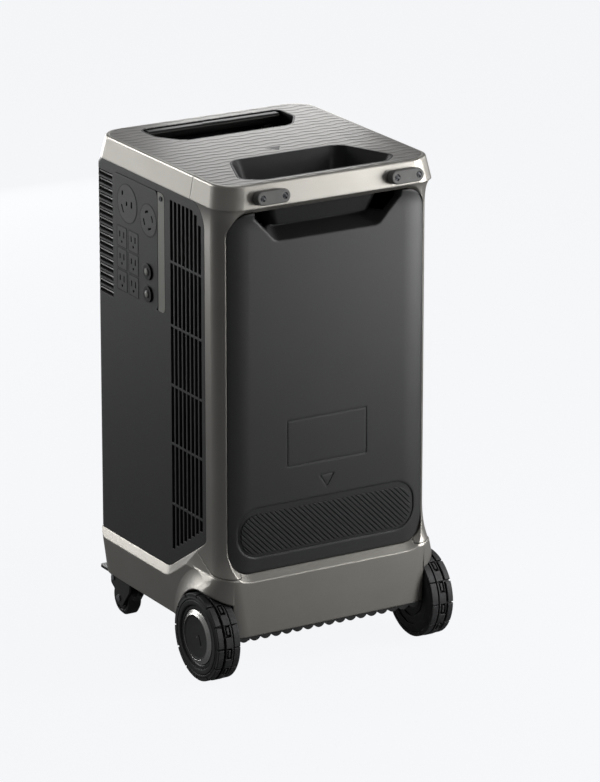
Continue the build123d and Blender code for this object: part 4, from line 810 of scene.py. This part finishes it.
class AtPlaces(Grower):
    """Puts another object's mesh at each vertex of the seed."""

    name = "PutAtPlaces"
    inputs = {"Master": "Object"}

    def rule(self, given: Any) -> Socket:
        """Places one copy for each vertex."""
        taken = add(self.tree, "GeometryNodeObjectInfo", {"Object": given["Master"]})
        return self.copies(given["Geometry"], taken.outputs["Geometry"])

    def repeat(self, name: str, places: Sequence[Point], master: Mesh, finish: Finish) -> Mesh:
        """Runs the tree on a list of places.

        Args:
            name: Name of the new mesh.
            places: Where the copies go, in metres.
            master: Mesh that is copied.
            finish: Finish of the result.

        Returns:
            The copies as one plain mesh.
        """
        holder = placed(name + "_master", master)
        made = self.grow(name, meshed(name + "_places", places), finish, Master=holder)
        bpy.data.objects.remove(holder)
        return made


class WavedRibs(Grower):
    """Low waved ribs that lie on a flat surface and stop where it stops."""

    name = "WavedRibs"
    inputs = {"Surface": "Object", "Rows": "Int", "Pitch": "Float", "Length": "Float",
              "Samples": "Int", "Wave Height": "Float", "Wave Length": "Float",
              "Rib Width": "Float", "Rib Height": "Float", "Level": "Float"}

    # A ray starts this far above a point and looks a little deeper than the surface.
    ray_start = 0.01
    ray_length = 0.0103

    def vector(self, x: Any = 0.0, y: Any = 0.0, z: Any = 0.0) -> Socket:
        """A vector from its three values."""
        return flow(self.tree, "ShaderNodeCombineXYZ", {"X": x, "Y": y, "Z": z})

    def rule(self, given: Any) -> Socket:
        """Draws rows, waves them, drops what misses the surface and gives the rest a section."""
        tree = self.tree
        gaps = reckon(tree, "SUBTRACT", given["Rows"], 1.0)
        width = reckon(tree, "MULTIPLY", gaps, given["Pitch"])
        rows = self.line(given["Rows"],
                         self.vector(y=reckon(tree, "MULTIPLY", width, -0.5), z=given["Level"]),
                         self.vector(y=given["Pitch"]))
        gaps = reckon(tree, "SUBTRACT", given["Samples"], 1.0)
        gap = reckon(tree, "DIVIDE", given["Length"], gaps)
        line = self.line(given["Samples"],
                         self.vector(x=reckon(tree, "MULTIPLY", given["Length"], -0.5)),
                         self.vector(x=gap))
        field = flow(tree, "GeometryNodeRealizeInstances", {0: self.copies(rows, line)})
        here = flow(tree, "GeometryNodeInputPosition")
        along = flow(tree, "ShaderNodeSeparateXYZ", {0: here})
        turns = reckon(tree, "DIVIDE", along, given["Wave Length"])
        phase = reckon(tree, "MULTIPLY", turns, 2 * math.pi)
        lift = reckon(tree, "MULTIPLY", reckon(tree, "SINE", phase), given["Wave Height"])
        waved = flow(tree, "GeometryNodeSetPosition", {
            "Geometry": field, "Offset": self.vector(y=lift)})
        surface = add(tree, "GeometryNodeObjectInfo", {"Object": given["Surface"]})
        above = flow(tree, "ShaderNodeVectorMath", {0: here, 1: (0.0, 0.0, self.ray_start)},
                     operation="ADD")
        hit = flow(tree, "GeometryNodeRaycast", {
            "Target Geometry": surface.outputs["Geometry"], "Source Position": above,
            "Ray Direction": (0.0, 0.0, -1.0), "Ray Length": self.ray_length})
        missed = flow(tree, "FunctionNodeBooleanMath", {0: hit}, operation="NOT")
        kept = flow(tree, "GeometryNodeDeleteGeometry", {"Geometry": waved, "Selection": missed})
        paths = flow(tree, "GeometryNodeMeshToCurve", {0: kept})
        upright = flow(tree, "GeometryNodeSetCurveNormal", {0: paths}, mode="Z_UP")
        ring = flow(tree, "GeometryNodeCurvePrimitiveCircle", {"Resolution": 8, "Radius": 0.5})
        tall = reckon(tree, "MULTIPLY", given["Rib Height"], 2.0)
        section = flow(tree, "GeometryNodeTransform", {
            "Geometry": ring, "Scale": self.vector(given["Rib Width"], tall, 1.0)})
        return flow(tree, "GeometryNodeCurveToMesh", {
            "Curve": upright, "Profile Curve": section, "Fill Caps": True})


# ---- sub-assemblies; their sizes are in millimetres
@dataclass
class Deck:
    """Top deck: the ribs of its plate and the dark arrow let into it."""

    top: float = 702.0
    rib_pitch: float = 14.0
    rib_width: float = 6.4
    rib_height: float = 0.2
    wave_height: float = 1.6
    wave_length: float = 34.0
    rib_margin: float = 6.0
    rib_samples: int = 150
    arrow_width: float = 24.0
    arrow_length: float = 19.0
    arrow_y: float = -30.5
    arrow_gap: float = 0.15
    arrow_thick: float = 0.75
    arrow_floor: float = 0.8

    def build(self, nodes: Mapping[str, Object]) -> None:
        """Makes the ribs and the arrow."""
        low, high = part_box("top_plate")
        rows = int((high[1] - low[1]) / (self.rib_pitch * MM)) + 1
        seed = bpy.data.meshes.new("rib_seed")
        ribs = WavedRibs().grow(
            "deck_ribs", seed, DECK_PAINT, Surface=nodes["top_plate"], Rows=rows,
            Pitch=self.rib_pitch * MM, Length=high[0] - low[0] - self.rib_margin * MM,
            Samples=self.rib_samples, Wave_Height=self.wave_height * MM,
            Wave_Length=self.wave_length * MM, Rib_Width=self.rib_width * MM,
            Rib_Height=self.rib_height * MM, Level=self.top * MM)
        piece("deck_ribs", closed(ribs, 60), DECK_PAINT, "station")
        half = self.arrow_width / 2 - self.arrow_gap
        tip = self.arrow_length / 2 - 2 * self.arrow_gap
        arrow = prism("deck_arrow", [(-half, tip), (0, -tip), (half, tip)], self.arrow_thick)
        seat = (0, self.arrow_y * MM, (self.top - self.arrow_floor) * MM)
        arrow.transform(Matrix.Translation(seat) @ TO_TOP)
        piece("deck_arrow", closed(arrow), LINER, "station")


@dataclass
class RoadWheel:
    """One large wheel's tyre, with blocks round its tread."""

    side: Side
    centre_y: float = -135.5
    radius: float = 62.0
    inner_x: float = 153.0
    outer_x: float = 189.0
    seat_r: float = 44.0
    groove_r: float = 57.6
    root: float = 1.5
    blocks: int = 12
    block_bevel: float = 0.7
    block_steps: int = 5

    def block(self, x0: float, x1: float, low: float, high: float, start: float,
              stop: float) -> Mesh:
        """One tread block: a curved pad with bevelled upper edges.

        Args:
            x0: Inner side, along the axle.
            x1: Outer side.
            low: Radius at its foot.
            high: Radius at its crown.
            start: Angle where it starts, in degrees.
            stop: Angle where it stops.

        Returns:
            The closed mesh.
        """
        bevel = self.block_bevel
        steps = self.block_steps
        lean = math.degrees(bevel / high)
        rings = ((x0, x1, low, start, stop), (x0, x1, high - bevel, start, stop),
                 (x0 + bevel, x1 - bevel, high, start + lean, stop - lean))
        points = []
        for a, b, radius, first, last in rings:
            for x in (a, b):
                for n in range(steps + 1):
                    turn = math.radians(first + (last - first) * n / steps)
                    points.append((x * MM, radius * MM * math.cos(turn),
                                   radius * MM * math.sin(turn)))
        row = steps + 1
        top = 4 * row
        faces = []
        for ring in (0, 1):
            base = 2 * row * ring
            up = base + 2 * row
            for n in range(steps):
                faces.append((base + n, base + n + 1, up + n + 1, up + n))
                faces.append((base + row + n + 1, base + row + n, up + row + n, up + row + n + 1))
            faces.append((base, up, up + row, base + row))
            faces.append((base + row - 1, base + 2 * row - 1, up + 2 * row - 1, up + row - 1))
        for n in range(steps):
            faces.append((n + 1, n, row + n, row + n + 1))
            faces.append((top + n, top + n + 1, top + row + n + 1, top + row + n))
        return meshed("tread_block", points, faces)

    def sector(self) -> Mesh:
        """The blocks of one sector: shoulder lug, crown with a bracket groove, inner band."""
        foot = self.groove_r - self.root
        crown = self.radius
        out = self.outer_x
        inn = self.inner_x
        wide = 360 / self.blocks
        return merged("tread_sector", [
            self.block(out - 9.5, out - 0.9, foot, crown - 0.7, 1.2, wide - 1.2),
            self.block(out - 14.4, out - 12.6, foot, crown, 0.0, wide / 2 - 1),
            self.block(out - 19.6, out - 15.8, foot, crown, 2.0, wide / 2 - 3),
            self.block(out - 24.0, out - 12.6, foot, crown, wide / 2, wide - 0.2),
            self.block(out - 24.0, out - 21.2, foot, crown, 0.0, wide / 2 + 1),
            self.block(inn + 0.9, out - 25.2, foot, crown - 0.4, 0.5, wide - 0.5)])

    def build(self) -> None:
        """Makes the tyre and lets it stand for the CAD one."""
        out = self.outer_x
        inn = self.inner_x
        seat = self.seat_r
        groove = self.groove_r
        # From the inner bead over the outer wall, with its moulded line, to the inner wall.
        carcass = lathed("carcass", [
            (inn + 0.5, seat), (out - 3.0, seat), (out - 0.4, seat + 1.6), (out, seat + 4.0),
            (out - 0.2, seat + 7.5), (out - 1.0, seat + 8.2), (out - 1.0, seat + 9.0),
            (out - 0.2, seat + 9.8), (out - 0.6, groove - self.root), (out - 3.5, groove),
            (inn + 3.5, groove), (inn + 0.8, groove - 2 * self.root), (inn, seat + 6.0)], 96)
        turn = (2 * math.pi / self.blocks, 0.0, 0.0)
        tread = Around().grow("tread", self.sector(), TYRE, Count=self.blocks, Turn=turn,
                              Centre=(0.0, 0.0, 0.0))
        name = self.side.prefix + "tyre"
        tyre = merged(name + "_moulded", [carcass, tread])
        tyre.transform(Matrix.Translation((0, self.centre_y * MM, self.radius * MM))
                       @ Matrix.Diagonal((self.side.value, 1, 1, 1)))
        piece(name + "_moulded", closed(tyre, 40), TYRE, self.side.prefix + "wheel",
              [name])


@dataclass
class BandScrews:
    """Socket screws and their washers in the bumper pads."""

    places_x: tuple[float, ...] = (-114.0, -80.0, 95.0, 129.0)
    level: float = 683.0
    washer_r: float = 4.6
    washer_thick: float = 0.9
    bore_r: float = 3.0
    head_r: float = 3.3
    head_height: float = 1.8
    socket_r: float = 1.9
    socket_floor: float = 0.4
    sunk: float = 0.4
    facets: int = 24

    def screw(self) -> Mesh:
        """A domed head with a hexagon socket over a washer, facing the rear."""
        thick = self.washer_thick
        high = self.head_height
        washer = lathed("washer", [
            (0, self.bore_r), (0, self.washer_r), (thick - 0.4, self.washer_r),
            (thick, self.washer_r - 0.4), (thick, self.bore_r)], self.facets)
        head = lathed("head", [
            (0, self.socket_r), (0, self.head_r), (high - 0.9, self.head_r),
            (high - 0.3, self.head_r - 0.5), (high, self.socket_r + 0.5),
            (high - 0.1, self.socket_r)], self.facets)
        floor = prism("floor", circle(self.socket_r + 0.1, 6), self.socket_floor)
        mesh = closed(merged("screw", [washer, head, floor]))
        mesh.transform(TO_REAR)
        return mesh

    def build(self) -> None:
        """Puts a screw at each place, over the CAD screws' heads."""
        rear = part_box("bumper_screws")[0][1] + self.sunk * MM
        places = [(x * MM, rear, self.level * MM) for x in self.places_x]
        screws = AtPlaces().repeat("band_screw_heads", places, self.screw(), SCREW)
        piece("band_screw_heads", closed(screws), SCREW, "station")


@dataclass
class OutletTrim:
    """Black rings of painted shade round the receptacles, for the gap between them and the plate, and
    pale caps on the breakers.
    """

    centre_y: float = 30.0
    levels: tuple[float, ...] = (505.5, 537.0)
    cap_r: float = 4.2
    cap_thick: float = 0.6
    cap_sunk: float = 0.05
    rounds: tuple[Point, ...] = ((88.0, 619.0, 26.5), (28.5, 610.0, 22.0))
    duplex_y: tuple[float, ...] = (71.5, 104.0)
    duplex_z: tuple[float, ...] = (505.5, 537.0, 568.5)
    duplex_half: Pair = (12.5, 13.5)
    gasket: float = 1.7
    # Width of each ring of painted shade.
    gap: float = 0.1
    proud: float = 0.35
    outer_corner: float = 2.6
    inner_corner: float = 1.4
    facets: int = 48

    def gaskets(self) -> None:
        """Makes a black ring round each receptacle on the plate's face: painted shade for the gap
        between receptacle and plate.
        """
        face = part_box("outlet_plate")[0][0]
        hoops = []
        for y, z, radius in self.rounds:
            ring = hoop("gasket", circle(radius + self.gasket, self.facets),
                        circle(radius + self.gap, self.facets), -self.proud)
            ring.transform(Matrix.Translation((face, y * MM, z * MM)))
            hoops.append(ring)
        half_y, half_z = self.duplex_half
        frame = hoop("gasket",
                     rounded(half_y + self.gasket, half_z + self.gasket, self.outer_corner),
                     rounded(half_y + self.gap, half_z + self.gap, self.inner_corner),
                     -self.proud)
        places = [(face, y * MM, z * MM) for y in self.duplex_y for z in self.duplex_z]
        hoops.append(AtPlaces().repeat("duplex_gaskets", places, frame, GAP_SHADE_RUBBER))
        joined = merged("outlet_gaskets", hoops)
        piece("outlet_gaskets", closed(joined), GAP_SHADE_RUBBER, "station")

    def build(self) -> None:
        """Makes the rings of painted shade and the caps."""
        self.gaskets()
        sunk = self.cap_sunk
        thick = self.cap_thick
        for level in self.levels:
            name = "upper" if level == max(self.levels) else "lower"
            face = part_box(name + "_breaker_button")[0][0]
            cap = lathed("cap", [(sunk, 0.0), (sunk, self.cap_r), (0.25 - thick, self.cap_r),
                                 (-thick, self.cap_r - 0.5), (-thick, 0.0)], 32)
            cap.transform(Matrix.Translation((face, self.centre_y * MM, level * MM)))
            piece(name + "_breaker_cap", closed(cap), STRIP, name + "_breaker")


@dataclass
class LouvreBlades:
    """Slanted blades in the louvres of the front corners, pale grey as a painted highlight of the light
    that the ribs catch.
    """

    side: Side
    count: int = 16
    pitch: float = 11.2
    lowest: float = 479.1
    face_x: float = 166.0
    rear_y: float = 131.5
    front_y: float = 169.5
    thick: float = 1.3
    deep: float = 5.0
    bevel: float = 0.3
    inset: float = 0.4
    tilt_deg: float = 38.0

    def build(self) -> None:
        """Makes the blades, one in the middle of each slot."""
        half = self.deep / 2
        sign = self.side.value
        blade = prism("blade", oblong(half, self.thick / 2), self.front_y - self.rear_y, self.bevel)
        blade.transform(Matrix.Rotation(math.radians(-sign * self.tilt_deg), 4, "Y") @ TO_FRONT)
        start = (sign * (self.face_x - half - self.inset) * MM, self.rear_y * MM,
                 self.lowest * MM)
        name = self.side.prefix + "louvre_blades"
        blades = Row().grow(name, blade, BLADE_HIGHLIGHT, Count=self.count, Start=start,
                            Step=(0.0, 0.0, self.pitch * MM))
        piece(name, closed(blades), BLADE_HIGHLIGHT, "station")


@dataclass
class Display:
    """What the display shows: a ring of ticks and a charge bar."""

    centre: Point = (0.0, 177.32, 600.0)
    ring_r: float = 22.0
    tick: Pair = (1.2, 4.0)
    ticks: int = 24
    ticks_lit: int = 19
    bar: Pair = (3.4, 8.0)
    bars: int = 5
    bars_x: float = 34.0
    bar_pitch: float = 5.2
    thick: float = 0.12

    def mark(self, size: Pair, middle: float = 0.0) -> Mesh:
        """One lit mark of this width and height, facing the front."""
        width, height = size
        made = prism("mark", oblong(width / 2, height / 2, middle), self.thick)
        made.transform(TO_FRONT)
        return made

    def build(self) -> None:
        """Makes the lit marks."""
        x, y, z = (v * MM for v in self.centre)
        tick = self.mark(self.tick, self.ring_r - self.tick[1] / 2)
        lit = Around().grow("display_ring", tick, LIGHT, Count=self.ticks_lit,
                            Turn=(0.0, 2 * math.pi / self.ticks, 0.0), Centre=(x, y, z))
        charge = Row().grow("display_bars", self.mark(self.bar), LIGHT, Count=self.bars,
                            Start=(self.bars_x * MM, y, z), Step=(self.bar_pitch * MM, 0.0, 0.0))
        piece("display_ring", closed(merged("display_ring", [lit, charge])), LIGHT, "station")


# ---- studio
@dataclass
class Softbox:
    """A rectangular lamp that faces a point. Places and sizes in metres, power in watts."""

    name: str
    at: Point
    towards: Point
    size: Pair
    power: float

    def build(self) -> None:
        """Makes the lamp."""
        data = bpy.data.lights.new(self.name, "AREA")
        data.shape = "RECTANGLE"
        data.size, data.size_y = self.size
        data.energy = self.power
        aimed(self.name, data, self.at, self.towards).visible_camera = False


@dataclass
class Studio:
    """Pale floor, pale surroundings, lamps and the camera. Lengths in metres, lens in mm."""

    backdrop: str = "F7F8FA"
    ambient: float = 0.16
    gloss_share: float = 0.20
    floor_gloss: float = 0.05
    shadow_share: float = 0.2
    pale_strength: float = 1.21
    card: str = "6A6B6D"
    floor_half: float = 30.0
    camera_at: Point = (-3.204, -5.498, 2.395)
    look_at: Point = (0.0565, 0.0, 0.3376)
    lens: float = 221.6

    def build(self) -> None:
        """Makes everything round the object."""
        self.world()
        self.floor()
        self.lamps()
        self.camera()
        bpy.context.scene.view_settings.view_transform = "Standard"

    def seen(self, tree: Tree, gloss: float) -> Socket:
        """How much of the pale backdrop a ray sees.

        Args:
            tree: The node tree of the world or the floor.
            gloss: What a glossy ray sees of it. A camera or transmitted ray sees all of it.

        Returns:
            A value from 0 to 1.
        """
        path = add(tree, "ShaderNodeLightPath")
        total = reckon(tree, "MULTIPLY", path.outputs["Is Glossy Ray"], gloss)
        for name in ("Is Camera Ray", "Is Transmission Ray"):
            total = reckon(tree, "MAXIMUM", total, path.outputs[name])
        return total

    def world(self) -> None:
        """Pale surroundings, which light the object more softly than they look."""
        world = bpy.data.worlds.new("StudioAir")
        bpy.context.scene.world = world
        tree = emptied(world)
        strength = reckon(tree, "MAXIMUM", self.seen(tree, self.gloss_share), self.ambient)
        air = flow(tree, "ShaderNodeBackground", {
            "Color": linear(self.backdrop), "Strength": strength})
        add(tree, "ShaderNodeOutputWorld", {"Surface": air})

    def floor(self) -> None:
        """Wide floor that takes only a part of the object's shadow."""
        half = self.floor_half
        corners = [(x, y, 0) for x, y in oblong(half, half)]
        floor = placed("studio_floor", meshed("studio_floor", corners, [(0, 1, 2, 3)]))
        material = bpy.data.materials.new("PaleFloorCard")
        tree = emptied(material)
        card = flow(tree, "ShaderNodeBsdfDiffuse", {"Color": linear(self.card)})
        pale = flow(tree, "ShaderNodeEmission", {
            "Color": linear(self.backdrop), "Strength": self.pale_strength})
        share = reckon(tree, "MULTIPLY", self.seen(tree, self.floor_gloss), 1 - self.shadow_share)
        mixed = flow(tree, "ShaderNodeMixShader", {0: share, 1: card, 2: pale})
        add(tree, "ShaderNodeOutputMaterial", {"Surface": mixed})
        floor.data.materials.append(material)

    def lamps(self) -> None:
        """Softboxes for the rear, its panel and band, the deck, the front, the sides and above."""
        middle = (0.0, 0.0, 0.35)
        boxes = (
            Softbox("rear_key", (1.0, -0.75, 0.66), middle, (0.4, 0.9), 13.5),
            Softbox("panel_glow", (0.95, -1.35, 0.22), (0.05, -0.17, 0.55), (0.5, 0.3), 2.8),
            Softbox("band_key", (1.25, -1.7, 0.84), (0, -0.17, 0.68), (0.8, 0.26), 4.6),
            Softbox("outlet_fill", (-1.6, 2.4, 1.3), middle, (1.0, 1.0), 32.0),
            Softbox("outlet_low", (-1.0, 1.35, 0.36), middle, (0.5, 0.5), 1.5),
            Softbox("rear_high", (0.3, -1.6, 1.35), (0, -0.15, 0.6), (0.5, 0.4), 1.8),
            Softbox("deck_glow", (0.27, 0.46, 0.81), (0.08, 0.12, 0.7), (0.3, 0.2), 0.42),
            Softbox("front_fill", (1.2, 2.6, 1.2), middle, (1.2, 1.2), 2.5),
            Softbox("front_low", (0.2, 2.3, 0.36), middle, (1.6, 0.6), 17.0),
            Softbox("right_fill", (2.6, 0.4, 1.2), middle, (1.2, 1.4), 12.0),
            Softbox("overhead", (0.2, 0.3, 2.6), middle, (1.2, 1.2), 4.0))
        for box in boxes:
            box.build()

    def camera(self) -> None:
        """Long lens above the outlet side's rear corner."""
        data = bpy.data.cameras.new("camera")
        data.lens = self.lens
        data.sensor_width = 36.0
        data.clip_start = 0.1
        data.clip_end = 100.0
        bpy.context.scene.camera = aimed("camera", data, self.camera_at, self.look_at)


# The nodes that each finish covers.
FINISHES = {
    PAINT: "top_frame rear_frame base_shell",
    DECK_PAINT: "top_plate",
    SIDE_COVER: "left_panel right_panel front_panel",
    COVER: "rear_panel",
    PAD: "ribbed_pad",
    SCREEN: "vent_screens",
    LINER: "grip_liner handle_liner breaker_collars arch_liners",
    TUBE: "handle_outer_tubes handle_middle_tubes handle_inner_tubes",
    GRIP: "handle_grip",
    BUTTON: "release_button upper_breaker_button lower_breaker_button power_button ac_button dc_button",
    BUMPER: "bumper_pads",
    SCREW: "bumper_screws strip_screw",
    OUTLET: "outlet_plate",
    STRIP: "outlet_strip",
    SOCKET: "round_receptacle locking_receptacle duplex_receptacles port_block",
    WINDOW: "display_lens",
    BOARD: "display_board",
    TREAD: "tread_strip",
    STEEL: "chassis_tray",
    ZINC: "wheel_axles caster_plates",
    CELL_CASE: "battery_modules",
    CASE: "inverter_module",
    FAN: "fan_frames",
}
SIDED = {
    TYRE: "tyre",
    RIM: "rim hub_cap",
    RING: "trim_ring",
    STEEL: "caster_fork brake_pedal",
    ROLLER: "caster_roller",
    ZINC: "caster_pins",
    FAN: "fan_rotor",
}


def main() -> None:
    """Loads the frame, dresses it and builds the studio."""
    logging.basicConfig(level=logging.INFO, format="%(message)s")
    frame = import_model()
    dress(FINISHES, frame["nodes"])
    for side in Side:
        dress(SIDED, frame["nodes"], side.prefix)
    Deck().build(frame["nodes"])
    for side in Side:
        RoadWheel(side).build()
        LouvreBlades(side).build()
    OutletTrim().build()
    BandScrews().build()
    Display().build()
    Studio().build()


if __name__ == "__main__":
    main()
